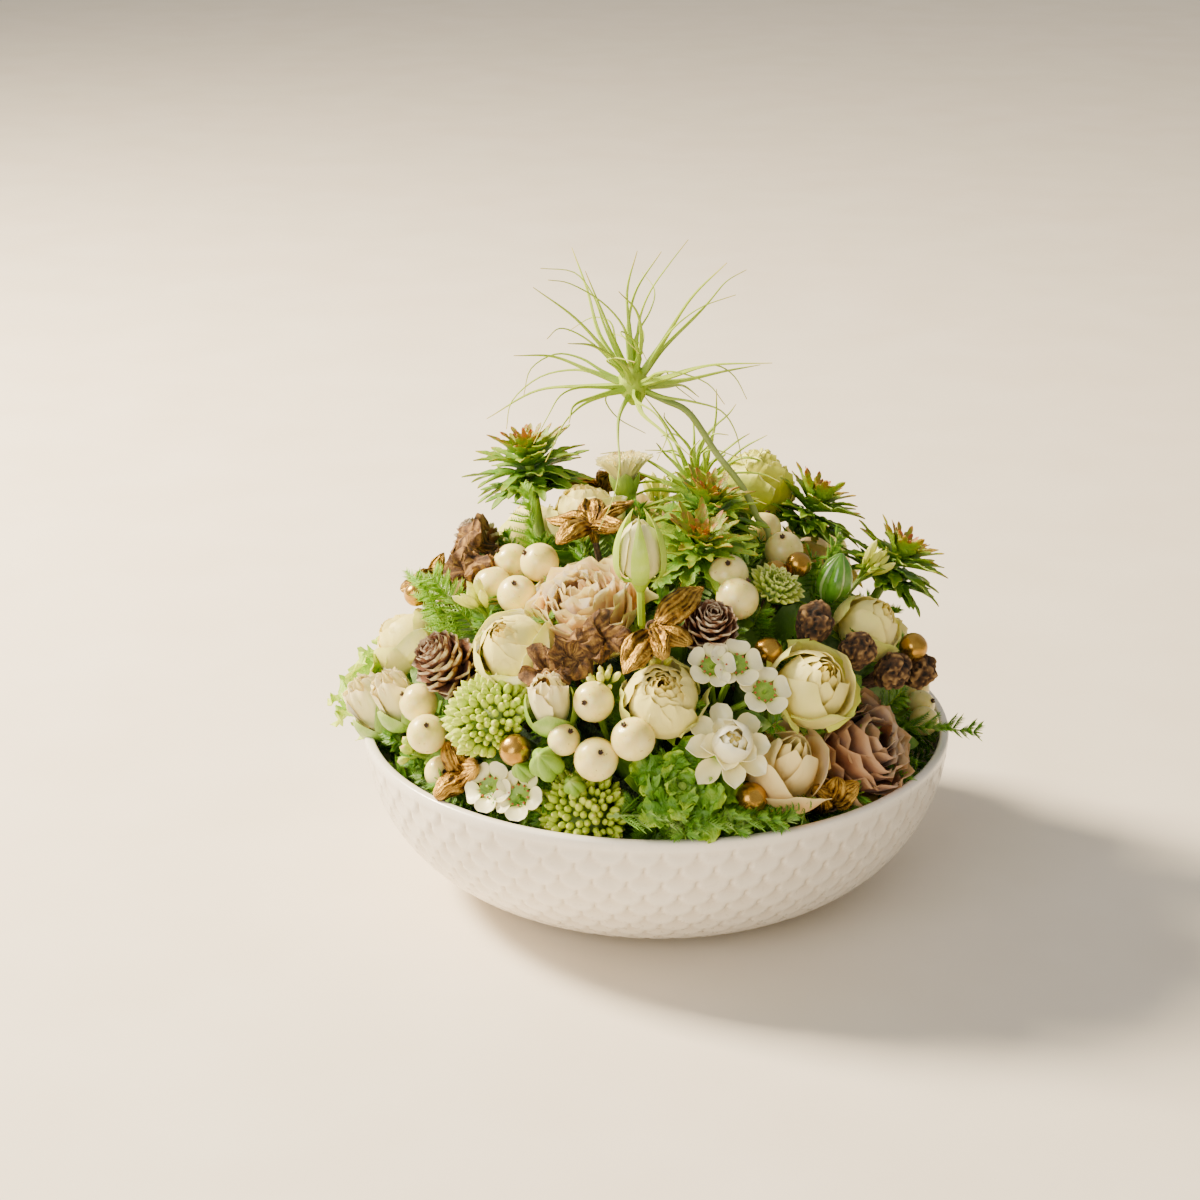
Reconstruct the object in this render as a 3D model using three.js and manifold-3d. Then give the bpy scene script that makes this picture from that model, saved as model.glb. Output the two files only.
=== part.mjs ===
// Floral table centerpiece: a shallow white porcelain bowl holding a block of floral foam, with a dome of
// roses, berries, seed pods, cones, sedum, waxflower, bract heads, curled leaves, fern and two air plants.
// Every stem points at one place inside the foam, the focus, and stands in a plain hole. Millimetres, +Z up,
// -Y is the side that faces the viewer, and the origin is at the middle of the bowl's foot, on the table.
import * as THREE from "three";
import { mergeVertices } from "three/addons/utils/BufferGeometryUtils.js";
import { ConvexGeometry } from "three/addons/geometries/ConvexGeometry.js";
import Module from "manifold-3d";

const wasm = await Module();
wasm.setup();

// ---- driving dimensions ----

const RIM_RADIUS = 110; // outside of the bowl at its rim
const BOWL_HEIGHT = 61;
const FOOT_RADIUS = 50;
const FOOT_HEIGHT = 2;
const BELLY_START = 54; // radius where the bowl's curve leaves the foot
const WALL = 3.5;
const FLOOR_HEIGHT = 7; // top of the bowl's inside floor
const FOAM_EDGE = 86; // radius of the foam's widest part
const FOAM_SHOULDER = 40; // height where the foam starts to slope in
const FOAM_TOP_RADIUS = 40;
const FOAM_TOP = 86;
const DOME_RADIUS = 104; // the flowers' middles lie on this dome
const DOME_HEIGHT = 80;
const DOME_BASE = 64; // height of the dome's widest part
const FOCUS = new THREE.Vector3(0, 0, 15); // the place that all stems point at
const STEM_END = 58; // how far from the focus a stem ends
const STEM_RADIUS = 1.2;
const CLEARANCE = 0.35; // between a piece and what it touches
const STEP_ASIDE = 1.5; // how a head looks for room, and how far it may go
const REACH_ASIDE = 12;
const BENDS = [0, 10, 20, 30, 40, 50]; // degrees that a leaf may bend up
const FORK_PITCH = 3.5; // between the places where the stems of a spray join
const TURN = 2 * Math.PI;
const GOLDEN_DEGREES = 137.508;

// ---- finishes: colour, roughness and, for the gilded pods, metalness ----

const PORCELAIN = [0xf2efe8, 0.25];
const FOAM = [0x3f5a35, 0.95];
const CREAM = [0xf0e9c8, 0.6];
const DUSTY = [0xc9a48c, 0.65];
const MAUVE = [0x8d6a5c, 0.65];
const PEACH = [0xe9d6b8, 0.6];
const WHITE = [0xf7f2e4, 0.55];
const LIME = [0xc9d668, 0.6];
const BERRY = [0xf3ecd6, 0.35];
const GOLD = [0xb07c3a, 0.4, 0.8];
const BARK = [0x6b4f3f, 0.85];
const HUSK = [0x9a7558, 0.8];
const SEDUM = [0xb9c77a, 0.7];
const BRACT = [0x6f8a3a, 0.7];
const FRILL = [0x8fc04a, 0.6];
const FERN = [0x4a7a2e, 0.75];
const AIR_PLANT = [0xa9b862, 0.6];

// ---- solids ----

const point = (x, y, z) => new THREE.Vector3(x, y, z);
const radians = (angle) => (angle * Math.PI) / 180;
const degrees = (angle) => (angle * 180) / Math.PI;
const evenly = (count, start = 0) => Array.from({ length: count }, (_, i) => start + (i * 360) / count);
const union = (solids) => solids.reduce((all, solid) => all.add(solid));

// Seeded random numbers from 0 to 1.
function randomFrom(seed) {
  let state = seed;
  return () => {
    state = (state * 1664525 + 1013904223) % 4294967296;
    return state / 4294967296;
  };
}

function solidOf(geometry) {
  const bare = geometry.clone();
  bare.deleteAttribute("normal");
  bare.deleteAttribute("uv");
  const merged = mergeVertices(bare, 1e-4);
  return new wasm.Manifold(
    new wasm.Mesh({
      numProp: 3,
      vertProperties: new Float32Array(merged.attributes.position.array),
      triVerts: new Uint32Array(merged.index.array),
    }),
  );
}

function geometryOf(solid) {
  const { numProp, vertProperties, triVerts, numVert } = solid.getMesh();
  const positions = new Float32Array(numVert * 3);
  for (let i = 0; i < numVert; i++) {
    positions.set(vertProperties.subarray(i * numProp, i * numProp + 3), i * 3);
  }
  const geometry = new THREE.BufferGeometry();
  geometry.setAttribute("position", new THREE.BufferAttribute(positions, 3));
  geometry.setIndex(new THREE.BufferAttribute(new Uint32Array(triVerts), 1));
  return geometry;
}

// A closed solid through rings of points. Every ring has the same number of points, anticlockwise as seen
// from the last ring. A level ring, or one of three or four points, closes as a plain face, and any other
// end closes by its middle point. With a tip, the last ring closes on that point instead. Blades are rings
// of four, edge, middle, edge and middle, and are split from edge to middle alike on both faces.
function loft(rings, tip) {
  const sides = rings[0].length;
  const points = rings.flat();
  const triangles = [];
  for (let j = 0; j < sides; j++) {
    const k = (j + 1) % sides;
    const [from, to] = sides === 4 && j % 2 ? [k, j] : [j, k];
    for (let low = 0; low < sides * (rings.length - 1); low += sides) {
      const high = low + sides;
      triangles.push(low + j, low + k, high + to, low + from, high + k, high + j);
    }
  }
  const close = (ring, start, turn) => {
    if (sides <= 4 || ring.every((p) => Math.abs(p.z - ring[0].z) < 1e-6)) {
      for (let j = 1; j < sides - 1; j++) triangles.push(...turn(start, start + j, start + j + 1));
      return;
    }
    const middle = points.push(ring.reduce((sum, p) => sum.add(p), point(0, 0, 0)).divideScalar(sides)) - 1;
    for (let j = 0; j < sides; j++) triangles.push(...turn(middle, start + j, start + ((j + 1) % sides)));
  };
  close(rings[0], 0, (a, b, c) => [a, c, b]);
  const last = sides * (rings.length - 1);
  if (tip) {
    points.push(tip);
    for (let j = 0; j < sides; j++) triangles.push(points.length - 1, last + j, last + ((j + 1) % sides));
  } else {
    close(rings.at(-1), last, (a, b, c) => [a, b, c]);
  }
  const geometry = new THREE.BufferGeometry();
  geometry.setAttribute("position", new THREE.Float32BufferAttribute(points.flatMap((p) => [...p]), 3));
  geometry.setIndex(triangles);
  return solidOf(geometry);
}

// A solid turned about Z through rings of [radius, height, lobes, depth, turn]. A ring with lobes dips
// between them by that depth, a share of its radius.
function turned(profile, sides) {
  return loft(
    profile.map(([radius, height, lobes = 0, depth = 0, turn = 0]) =>
      Array.from({ length: sides }, (_, j) => {
        const angle = (j / sides) * TURN;
        const dip = depth * (1 - Math.abs(Math.cos((lobes / 2) * (angle - turn))));
        const r = radius * (1 - dip);
        return point(r * Math.cos(angle), r * Math.sin(angle), height * (1 - 0.6 * dip));
      }),
    ),
  );
}

// A tapering solid along a row of points. With one radius fewer than points, it ends in a tip.
function taper(points, radii, sides = 3) {
  return loft(
    radii.map((radius, i) => {
      const p = points[i];
      const from = points[Math.max(i - 1, 0)];
      const along = points[Math.min(i + 1, points.length - 1)].clone().sub(from).normalize();
      const across = point(0.31, 0.17, 1).cross(along).normalize();
      const third = along.clone().cross(across);
      return Array.from({ length: sides }, (_, j) => {
        const angle = (j / sides) * TURN;
        const spoke = across.clone().multiplyScalar(Math.cos(angle)).addScaledVector(third, Math.sin(angle));
        return p.clone().addScaledVector(spoke, radius);
      });
    }),
    radii.length < points.length ? points.at(-1) : undefined,
  );
}

// A pointed leaf or petal that grows along +X to its tip: its rib runs through points [x, z], with a half
// width at each but the last, and its edges stand "cupped" half widths above the rib, over a keel.
function blade(rib, halfWidths, thickness = 1, cupped = 0.2) {
  const rings = halfWidths.map((half, i) => {
    const [x, z] = rib[i];
    const edge = z + cupped * half;
    return [point(x, half, edge), point(x, -half, edge), point(x, 0, z - thickness)];
  });
  return loft(rings, point(rib.at(-1)[0], 0, rib.at(-1)[1]));
}

// ---- flower heads. Each stands on the origin and grows along +Z, as a list of solids ----

const stalk = (to, radius = 1.1, sides = 4) => taper([point(0, 0, -1), to], [radius, radius], sides);

// A rose, from shut (open = 0) to full-blown (open = 1): three cups of petals, one inside the other.
function rose(width, height, open) {
  const r = width / 2;
  const outer = height * (0.72 - 0.2 * open);
  return [
    turned(
      [
        [0.4 * r, 0],
        [r, outer, 5, 0.24],
        [0.76 * r, 0.86 * outer, 5, 0.12],
        [0.74 * r, 0.88 * height, 5, 0.2, 0.63],
        [0.5 * r, 0.7 * height],
        [0.44 * r, height, 5, 0.16],
        [0.16 * r, height * (0.95 - 0.3 * open)],
      ],
      10,
    ),
  ];
}

// A bloom with a fringed edge, in a narrow green calyx.
function fringedBloom(width, height) {
  const r = width / 2;
  return [
    turned(
      [
        [0.3 * r, 0],
        [0.5 * r, 0.5 * height],
        [r, height, 6, 0.3],
        [0.6 * r, 0.86 * height, 6, 0.3, 0.5],
        [0.34 * r, 1.04 * height, 6, 0.3],
      ],
      12,
    ),
  ];
}

// A bud on a neck, in five sepals whose tips stand off.
function sepalBud(width, height, neck) {
  const r = width / 2;
  const body = turned(
    [
      [0.3 * r, neck],
      [0.86 * r, neck + 0.3 * height],
      [0.8 * r, neck + 0.6 * height],
      [0.2 * r, neck + 0.94 * height],
    ],
    8,
  );
  const sepal = taper(
    [point(0.5 * r, 0, neck + 1), point(1.02 * r, 0, neck + 0.45 * height), point(0.8 * r, 0, neck + height)],
    [1.4, 2.6],
  );
  return [stalk(point(0, 0, neck + 2), 1.4), body, ...evenly(5).map((angle) => sepal.rotate([0, 0, angle]))];
}

// A closed, ribbed bud.
function ribbedBud(width, height) {
  const r = width / 2;
  return [
    turned(
      [
        [0.4 * r, 0],
        [r, 0.35 * height, 5, 0.14],
        [0.7 * r, 0.72 * height, 5, 0.14],
        [0.15 * r, height],
      ],
      10,
    ),
  ];
}

// A round berry or bead on its stalk.
function berry(radius) {
  const rings = [
    [0.6, 0.12],
    [1.04, 1],
    [0.6, 1.88],
  ];
  return [turned(rings.map(([r, z]) => [r * radius, z * radius]), 6)];
}

// Boat-shaped split pods round a knot, each [bearing, rise, length, width].
function splitPods(pods) {
  const hollow = [
    [1, 0.7],
    [0, -0.2],
    [-1, 0.7],
    [0, -1],
  ];
  const section = (x, half, lift) => hollow.map(([y, z]) => point(x, y * half, lift + 0.8 * z * half));
  const boats = pods.map(([bearing, rise, length, width]) => {
    const neck = section(0.06 * length, 0.1 * width, 0);
    const belly = section(0.5 * length, 0.5 * width, 0.1 * length);
    const boat = loft([neck, belly], point(length, 0, 0.12 * length));
    return boat.rotate([0, -rise, bearing]).translate([0, 0, 5]);
  });
  return [stalk(point(0, 0, 7), 2.2, 5), ...boats];
}

// A larch cone: tiers of five scales, each tier turned to stand between the scales of the one below.
function cone(width, height, tiers = 4) {
  const r = width / 2;
  const rings = Array.from({ length: tiers }, (_, tier) => {
    const share = (tier + 0.5) / tiers;
    const swell = Math.sin(Math.PI * (0.2 + 0.68 * share));
    const turn = tier % 2 ? radians(36) : 0;
    return [
      [0.55 * r * swell, (share - 0.42 / tiers) * height],
      [r * swell, (share + 0.3 / tiers) * height, 5, 0.34, turn],
    ];
  });
  return [turned([...rings.flat(), [0.16 * r, height]], 10)];
}

// A dried husk: a ribbed neck that flares into a crumpled cap.
function husk(size, turn) {
  return [
    turned(
      [
        [0.22 * size, 0],
        [0.56 * size, 0.6 * size, 3, 0.4],
        [0.44 * size, 0.95 * size, 3, 0.5, 0.4],
        [0.16 * size, 0.7 * size],
      ],
      6,
    ).rotate([12, 8, turn]),
  ];
}

// A rough round pod.
function knobble(size, seed) {
  const random = randomFrom(seed);
  const rings = [
    [0.5, 0.1],
    [1, 0.6],
    [0.9, 1.3],
    [0.4, 1.8],
  ];
  return [turned(rings.map(([r, z]) => [0.5 * size * r, 0.5 * size * z, 4, 0.35, 6 * random()]), 6)];
}

// A sedum head: a low dome whose surface rises in pointed buds, set like the squares of a chessboard.
function sedum(width, height, around = 12, rings = 6) {
  const r = width / 2;
  const rows = Array.from({ length: rings }, (_, row) => {
    const lean = radians(100 - (row / (rings - 1)) * 84);
    return Array.from({ length: around }, (_, j) => {
      const reach = (row + j) % 2 ? 1 : 0.78;
      const angle = (j / around) * TURN;
      const across = reach * r * Math.sin(lean);
      const up = height * (0.4 + 0.6 * reach * Math.cos(lean));
      return point(across * Math.cos(angle), across * Math.sin(angle), up);
    });
  });
  const base = Array.from({ length: around }, (_, j) => {
    const angle = (j / around) * TURN;
    return point(0.3 * r * Math.cos(angle), 0.3 * r * Math.sin(angle), 0);
  });
  return [loft([base, ...rows])];
}

// A waxflower floret: five round petals about a green cup.
function waxflower(width) {
  const r = width / 2;
  return [
    turned(
      [
        [0.3 * r, 0],
        [r, 0.8 * r, 5, 0.5],
        [0.36 * r, 0.85 * r],
        [0.2 * r, 0.6 * r],
      ],
      10,
    ),
  ];
}

// A leafy head: pointed bracts in tiers of [count, length, half width, rise] above a neck.
function bracts(neck, tiers) {
  const leaves = tiers.flatMap(([count, length, half, rise], tier) => {
    const rib = [
      [0.8, 0],
      [0.5 * length, 0.08 * length],
      [length, -0.02 * length],
    ];
    const leaf = blade(rib, [0.6, half], 1, 0.3).rotate([0, -rise, 0]).translate([0, 0, neck + 1.5 * tier]);
    return evenly(count, tier * 25).map((angle) => leaf.rotate([0, 0, angle]));
  });
  return [stalk(point(0, 0, neck + 4), 1.8), ...leaves];
}

// A button chrysanthemum: three rings of strap petals, one inside the other.
function chrysanthemum(width, height) {
  const r = width / 2;
  return [
    turned(
      [
        [0.4 * r, 0],
        [r, 0.6 * height, 9, 0.5],
        [0.5 * r, 0.56 * height],
        [0.8 * r, 0.95 * height, 9, 0.5, 0.35],
        [0.36 * r, 0.76 * height],
        [0.5 * r, 1.1 * height, 9, 0.5],
        [0.14 * r, 0.8 * height],
      ],
      18,
    ),
  ];
}

// A waxy double flower: spoon petals spread flat about a half-closed cup.
function waxyBloom(width, height) {
  const r = width / 2;
  const cup = turned(
    [
      [0.2 * r, 0],
      [0.42 * r, 0.5 * height],
      [0.46 * r, height, 5, 0.2],
      [0.2 * r, 0.75 * height],
    ],
    10,
  );
  const rib = [
    [0.2 * r, 0.3 * height],
    [0.75 * r, 0.5 * height],
    [r, 0.55 * height],
  ];
  const petal = blade(rib, [0.14 * r, 0.3 * r], 1.4);
  return [cup, ...evenly(7).map((angle) => petal.rotate([0, 0, angle]))];
}

// A folded bud between two pointed bracts.
function bractedBud(width, length) {
  const r = width / 2;
  const bud = turned(
    [
      [0.3 * r, 0],
      [r, 0.55 * length, 4, 0.1],
      [0.8 * r, length, 4, 0.3],
      [0.3 * r, 0.86 * length],
    ],
    8,
  );
  const ribs = [point(0.3 * r, 0, 0), point(1.1 * r, 0, 0.35 * length), point(1.2 * r, 0, 0.7 * length)];
  const bract = taper(ribs, [1.6, 2.6]);
  return [bud, bract.rotate([0, 0, 30]), bract.rotate([0, 0, 200])];
}

// A rosette of curled leaves with waved edges, each [bearing, length, rise].
function curledLeaves(leaves) {
  const widths = [0.05, 0.2, 0.34, 0.14]; // half widths along a leaf, as shares of its length
  const section = (length, i) => {
    const share = i / (widths.length - 1);
    const half = length * widths[i];
    const wave = (i % 2 ? 1 : -1) * 0.12 * length * share;
    const arch = 0.2 * length * Math.sin(2.2 * share);
    const across = [
      [half, wave],
      [0, 0.7],
      [-half, -wave],
      [0, -0.7],
    ];
    return across.map(([y, z]) => point(share * length, y, arch + z));
  };
  const curled = leaves.map(([bearing, length, rise], i) =>
    loft(widths.map((_, step) => section(length, step)))
      .rotate([0, -rise, bearing])
      .translate([0, 0, 2 + i]),
  );
  return [stalk(point(0, 0, 8), 2.4, 5), ...curled];
}

// An air plant: tapering leaves that arch out of a swollen base.
function airPlant(base, leaves, length, seed) {
  const random = randomFrom(seed);
  const heart = turned(
    [
      [0.25 * base, -0.5 * base],
      [0.5 * base, 0],
      [0.2 * base, 0.6 * base],
    ],
    7,
  );
  const all = Array.from({ length: leaves }, (_, i) => {
    const share = i / leaves;
    const step = (length * (0.7 + 0.5 * random())) / 3;
    const droop = 0.1 + 0.5 * random() + 0.2 * share;
    const drift = 0.6 * (random() - 0.5);
    let heading = radians(84 - 110 * share);
    const at = point(Math.cos(heading), 0, Math.sin(heading)).multiplyScalar(0.22 * base);
    const points = [];
    for (let k = 0; k < 4; k++) {
      points.push(at.clone());
      at.add(point(Math.cos(heading), (drift * k) / 3, Math.sin(heading)).multiplyScalar(step));
      heading = Math.max(heading - (droop * k) / 2, -1.2);
    }
    return taper(points, [1.1, 1.2, 0.8]).rotate([0, 0, i * GOLDEN_DEGREES]);
  });
  return [heart, ...all];
}

// A fern sprig that grows along +Z and nods towards +X: one thin blade, cut to the rib into needles whose
// tips are lifted to either side of it by turns.
function fernSprig(length, pairs, needle, nod = 0.4) {
  const rib = 0.7;
  const shape = { depth: 1, bevelEnabled: false, steps: 1 };
  const pitch = (0.84 * length) / pairs;
  const edge = (side) =>
    Array.from({ length: pairs }, (_, i) => {
      const z = 0.12 * length + (i + 0.25 * side) * pitch;
      const reach = needle * (1.1 - (0.6 * i) / pairs);
      return [
        [side * rib, z],
        [side * reach, z + 0.7 * reach],
      ];
    }).flat();
  const outline = [[-rib, -1], [rib, -1], ...edge(1), [0, 1.05 * length], ...edge(-1).reverse()];
  const comb = new THREE.Shape(outline.map(([x, z]) => new THREE.Vector2(x, z)));
  const sprig = new THREE.ExtrudeGeometry(comb, shape).rotateX(Math.PI / 2);
  const position = sprig.attributes.position;
  for (let i = 0; i < position.count; i++) {
    const [x, y, z] = [position.getX(i), position.getY(i), position.getZ(i)];
    const beyondRib = Math.max(Math.abs(x) - rib, 0);
    const side = Math.round(z / pitch) % 2 ? 1 : -1;
    position.setY(i, y + 0.6 * side * beyondRib + nod * length * Math.max(z / length, 0) ** 2);
  }
  return [solidOf(sprig)];
}

// ---- planting ----

const placed = []; // what stands already, which a later piece keeps clear of
const holes = []; // what the stems take out of the foam
const arrangement = new THREE.Group();

function add(name, solid, [colour, roughness, metalness = 0]) {
  const material = new THREE.MeshStandardMaterial({ color: colour, roughness, metalness });
  const mesh = new THREE.Mesh(geometryOf(solid), material);
  mesh.name = name;
  arrangement.add(mesh);
}

// The direction from the focus at a bearing, turning from the front (-Y) towards +X, and a rise.
function direction(bearing, rise) {
  const [b, a] = [radians(bearing), radians(rise)];
  return point(Math.sin(b) * Math.cos(a), -Math.cos(b) * Math.cos(a), Math.sin(a));
}

// The place at a bearing and a rise that is "out" millimetres outside the dome.
function onDome(bearing, rise, out) {
  const way = direction(bearing, rise);
  const across = Math.hypot(way.x, way.y) / DOME_RADIUS;
  const up = way.z / DOME_HEIGHT;
  const lift = (FOCUS.z - DOME_BASE) / DOME_HEIGHT;
  const [a, b, c] = [across ** 2 + up ** 2, up * lift, lift ** 2 - 1];
  return FOCUS.clone().addScaledVector(way, (-b + Math.sqrt(b ** 2 - a * c)) / a + out);
}

// Low heads look up a little more than their stems do.
const facing = (rise) => Math.max(rise, 20 + 0.6 * rise);

// The matrix that stands a head at its spot: its +Z points out, and its +X lies level or, after a spin, not.
function standing({ bearing, rise, out = 0, sink = 12, face = [bearing, facing(rise)], spin = 0 }) {
  const way = direction(...face);
  const level = point(Math.cos(radians(face[0])), Math.sin(radians(face[0])), 0);
  const matrix = new THREE.Matrix4().makeBasis(level, way.clone().cross(level), way);
  matrix.setPosition(onDome(bearing, rise, out).addScaledVector(way, -sink));
  return matrix.multiply(new THREE.Matrix4().makeRotationZ(radians(spin)));
}

function boxesMeet(a, b, gap) {
  const [p, q] = [a.boundingBox(), b.boundingBox()];
  return [0, 1, 2].every((k) => p.min[k] < q.max[k] + gap && q.min[k] < p.max[k] + gap);
}

const apart = (a, b) => !boxesMeet(a, b, CLEARANCE) || a.minGap(b, 1) > CLEARANCE;
const isClear = (solid) => placed.every((other) => apart(solid, other));
const largest = (solid) => solid.decompose().reduce((a, b) => (b.volume() > a.volume() ? b : a));

function stem(points, radius = STEM_RADIUS) {
  return taper(
    points,
    points.map(() => radius),
  );
}

function fromFocus(bearing, rise, distance) {
  return FOCUS.clone().addScaledVector(direction(bearing, rise), distance);
}

// The straight stem of a head at its spot, down into the foam or to where it meets the others of its spray.
function stemRun(spot, meeting) {
  const foot = point(0, 0, 3).applyMatrix4(standing(spot));
  return [foot, meeting ?? fromFocus(spot.bearing, spot.rise, STEM_END)];
}

// A spot and its neighbours on the dome, the nearest first, as far as REACH_ASIDE millimetres off.
function spotsAround(spot) {
  const spots = [spot];
  for (let off = STEP_ASIDE; off <= REACH_ASIDE; off += STEP_ASIDE) {
    const { out = 0 } = spot;
    for (const way of evenly(8).map(radians)) {
      const sideways = (off * Math.sin(way)) / (DOME_RADIUS * Math.cos(radians(spot.rise)));
      const upwards = (off * Math.cos(way)) / (DOME_RADIUS + 15);
      const bearing = spot.bearing + degrees(sideways);
      spots.push({ ...spot, bearing, rise: spot.rise + degrees(upwards), out: out + 0.25 * off });
    }
    spots.push({ ...spot, out: out + off });
  }
  return spots;
}

// Stands a head at the nearest spot where neither it nor its stem touches what stands already. In a leafy
// head, a leaf that would touch is bent up instead, and left out if that isn't enough.
function settle(head, spot, meeting, leafy) {
  const standAt = (tried, parts = head) => parts.map((part) => part.transform(standing(tried).elements));
  if (leafy) {
    const bent = head.map((part) => BENDS.map((bend) => bendUp(part, bend)));
    return { spot, parts: bent.flatMap((ways) => standAt(spot, ways).find(isClear) ?? []) };
  }
  const clear = (tried) => isClear(stem(stemRun(tried, meeting))) && standAt(tried).every(isClear);
  const found = spotsAround(spot).find(clear) ?? spot;
  return { spot: found, parts: standAt(found) };
}

// Turns a part of a head up about the level line across its root.
function bendUp(part, angle) {
  if (!angle) return part;
  const box = part.boundingBox();
  const bearing = degrees(Math.atan2(box.min[1] + box.max[1], box.min[0] + box.max[0]));
  const root = box.min[2];
  return part
    .translate([0, 0, -root])
    .rotate([0, 0, -bearing])
    .rotate([0, -angle, bearing])
    .translate([0, 0, root]);
}

// A piece that is planted in the foam: heads at their spots, each on a straight stem that runs to the
// focus. With a fork, [bearing, rise, distance from the focus], the stems meet there first.
function plant(name, finish, heads, { fork, leafy = false } = {}) {
  const deep = fork && fork[2] < STEM_END;
  const pitch = deep ? 0 : FORK_PITCH;
  const meetings = heads.map((_, i) => fork && fromFocus(fork[0], fork[1], fork[2] + pitch * i));
  const settled = heads.map(([head, spot], i) => settle(head, spot, meetings[i], leafy));
  const runs = settled.map(({ spot }, i) => stemRun(spot, meetings[i]));
  if (fork && !deep) runs.push([meetings.at(-1), fromFocus(fork[0], fork[1], STEM_END)]);
  finishPiece(name, finish, settled.flatMap(({ parts }) => parts), runs);
}

// Joins the heads and stems of a piece into one solid, and keeps a hole for each stem.
function finishPiece(name, finish, parts, runs) {
  const stems = runs.map((run) => stem(run));
  add(name, largest(union([...parts, ...stems])), finish);
  placed.push(...parts, ...stems);
  runs.forEach((run) => {
    const past = (end, before) => end.clone().add(end.clone().sub(before).setLength(2 * CLEARANCE));
    const bore = [past(run[0], run[1]), ...run.slice(1, -1), past(run.at(-1), run.at(-2))];
    holes.push(stem(bore, STEM_RADIUS + 2 * CLEARANCE));
  });
}

// ---- the bowl and the foam ----

const ellipsePoints = (count, start, across, base, up) =>
  Array.from({ length: count }, (_, i) => {
    const angle = (i / (count - 1)) * (Math.PI / 2);
    return [start + across * Math.sin(angle), base - up * Math.cos(angle)];
  });

function lathe(profile, segments) {
  const points = profile.map(([r, z]) => new THREE.Vector2(r, z));
  return solidOf(new THREE.LatheGeometry(points, segments).rotateX(Math.PI / 2));
}

const SPREAD = RIM_RADIUS - BELLY_START;
const LIP = BOWL_HEIGHT - 1; // where the rim's rounding starts
const outside = ellipsePoints(7, BELLY_START, SPREAD, LIP, LIP - FOOT_HEIGHT);
const inside = ellipsePoints(5, BELLY_START - WALL, SPREAD, LIP, LIP - FLOOR_HEIGHT);

function bowl() {
  const foot = [
    [0, 0],
    [FOOT_RADIUS, 0],
    [FOOT_RADIUS, FOOT_HEIGHT],
  ];
  const lip = [
    [RIM_RADIUS - 1, BOWL_HEIGHT],
    [RIM_RADIUS - WALL + 1, BOWL_HEIGHT],
  ];
  return lathe([...foot, ...outside, ...lip, ...inside.toReversed(), [0, FLOOR_HEIGHT]], 24);
}

// The ring that the bowl's wall fills and all outside it below the rim: what is planted keeps out of it.
function belowRim() {
  const [low, high] = [BOWL_HEIGHT - 45, BOWL_HEIGHT + CLEARANCE];
  const beyond = RIM_RADIUS + 30;
  const wall = inside.filter(([, z]) => z > low).map(([r, z]) => [r - CLEARANCE, z]);
  const foot = [wall[0][0], low];
  const top = [wall.at(-1)[0], high];
  return lathe([foot, [beyond, low], [beyond, high], top, ...wall.toReversed(), foot], 40);
}

function foam() {
  const block = lathe(
    [
      [0, FLOOR_HEIGHT + CLEARANCE],
      [BELLY_START - WALL - 2, FLOOR_HEIGHT + CLEARANCE],
      [FOAM_EDGE - 14, FLOOR_HEIGHT + 10],
      [FOAM_EDGE, FOAM_SHOULDER],
      [FOAM_TOP_RADIUS, FOAM_TOP],
      [0, FOAM_TOP],
    ],
    16,
  );
  return largest(holes.reduce((rest, hole) => rest.subtract(hole), block));
}

// ---- the arrangement. Bearings turn from the front towards the right; rises are above the table ----

const at = (bearing, rise, more = {}) => ({ bearing, rise, ...more });
const each = (head, spots) => spots.map((spot) => [head, spot]);

placed.push(belowRim());

// The tall pieces stand first, and what is planted after them keeps clear of their stems.
// The upper air plant rides on an arched wire.
const wire = [
  point(-9, -8, 192),
  point(2, -8, 187),
  point(11, -8, 182),
  point(21, -8, 167),
  point(30, -8, 155),
  point(36, -8, 143),
  point(40, -6, 128),
];
const upperAirPlant = airPlant(14, 17, 57, 11).map((part) =>
  part.rotate([0, -8, 20]).translate([...wire[0]]),
);
finishPiece("air_plant_a", AIR_PLANT, upperAirPlant, [[...wire, fromFocus(83, 71, STEM_END)]]);

const tallBract = bracts(26, [
  [6, 22, 3.4, 12],
  [4, 19, 3, 38],
  [2, 14, 2.5, 66],
]);
const bract = bracts(12, [
  [5, 18, 3.4, 8],
  [4, 15, 2.8, 36],
  [1, 11, 2.3, 80],
]);
const overHeads = at(-131, 64, { out: 14, sink: 26, face: [-131, 78] });
plant("bract_head_a", BRACT, [[tallBract, overHeads]], { leafy: true });
plant("sepal_bud", LIME, each(sepalBud(18, 23, 17), [at(-6, 61, { out: 9, sink: 12, face: [-18, 84] })]));
plant("lime_rose", LIME, each(rose(30, 27, 0.6), [at(136, 66, { out: 8, sink: 14 })]));

// Roses.
plant("dusty_rose_a", DUSTY, each(rose(42, 26, 1), [at(-29, 63, { sink: 20 })]));
plant("dusty_rose_b", MAUVE, each(rose(42, 25, 1), [at(51, 33, { out: -5, sink: 18, spin: 20 })]));
plant("cream_rose_a", CREAM, each(rose(28, 25, 0), [at(-41, 51, { sink: 16 })]));
plant("cream_rose_b", CREAM, each(rose(26, 22, 0.3), [at(-94, 38, { sink: 15 })]));
plant("cream_rose_c", CREAM, each(rose(28, 26, 0.2), [at(0, 46, { sink: 16 })]));
plant("cream_rose_d", CREAM, each(rose(29, 26, 0.2), [at(37, 45, { sink: 16, spin: 30 })]));
plant("cream_rose_e", CREAM, each(rose(27, 22, 0.4), [at(-124, 75, { sink: 15 })]));
plant("peach_rose", PEACH, each(rose(32, 32, 0.1), [at(27, 34, { out: -6, sink: 18 })]));
plant("tuberose_bloom", WHITE, each(waxyBloom(30, 16), [at(13.3, 37.5, { out: 2.4 })]));
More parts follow.
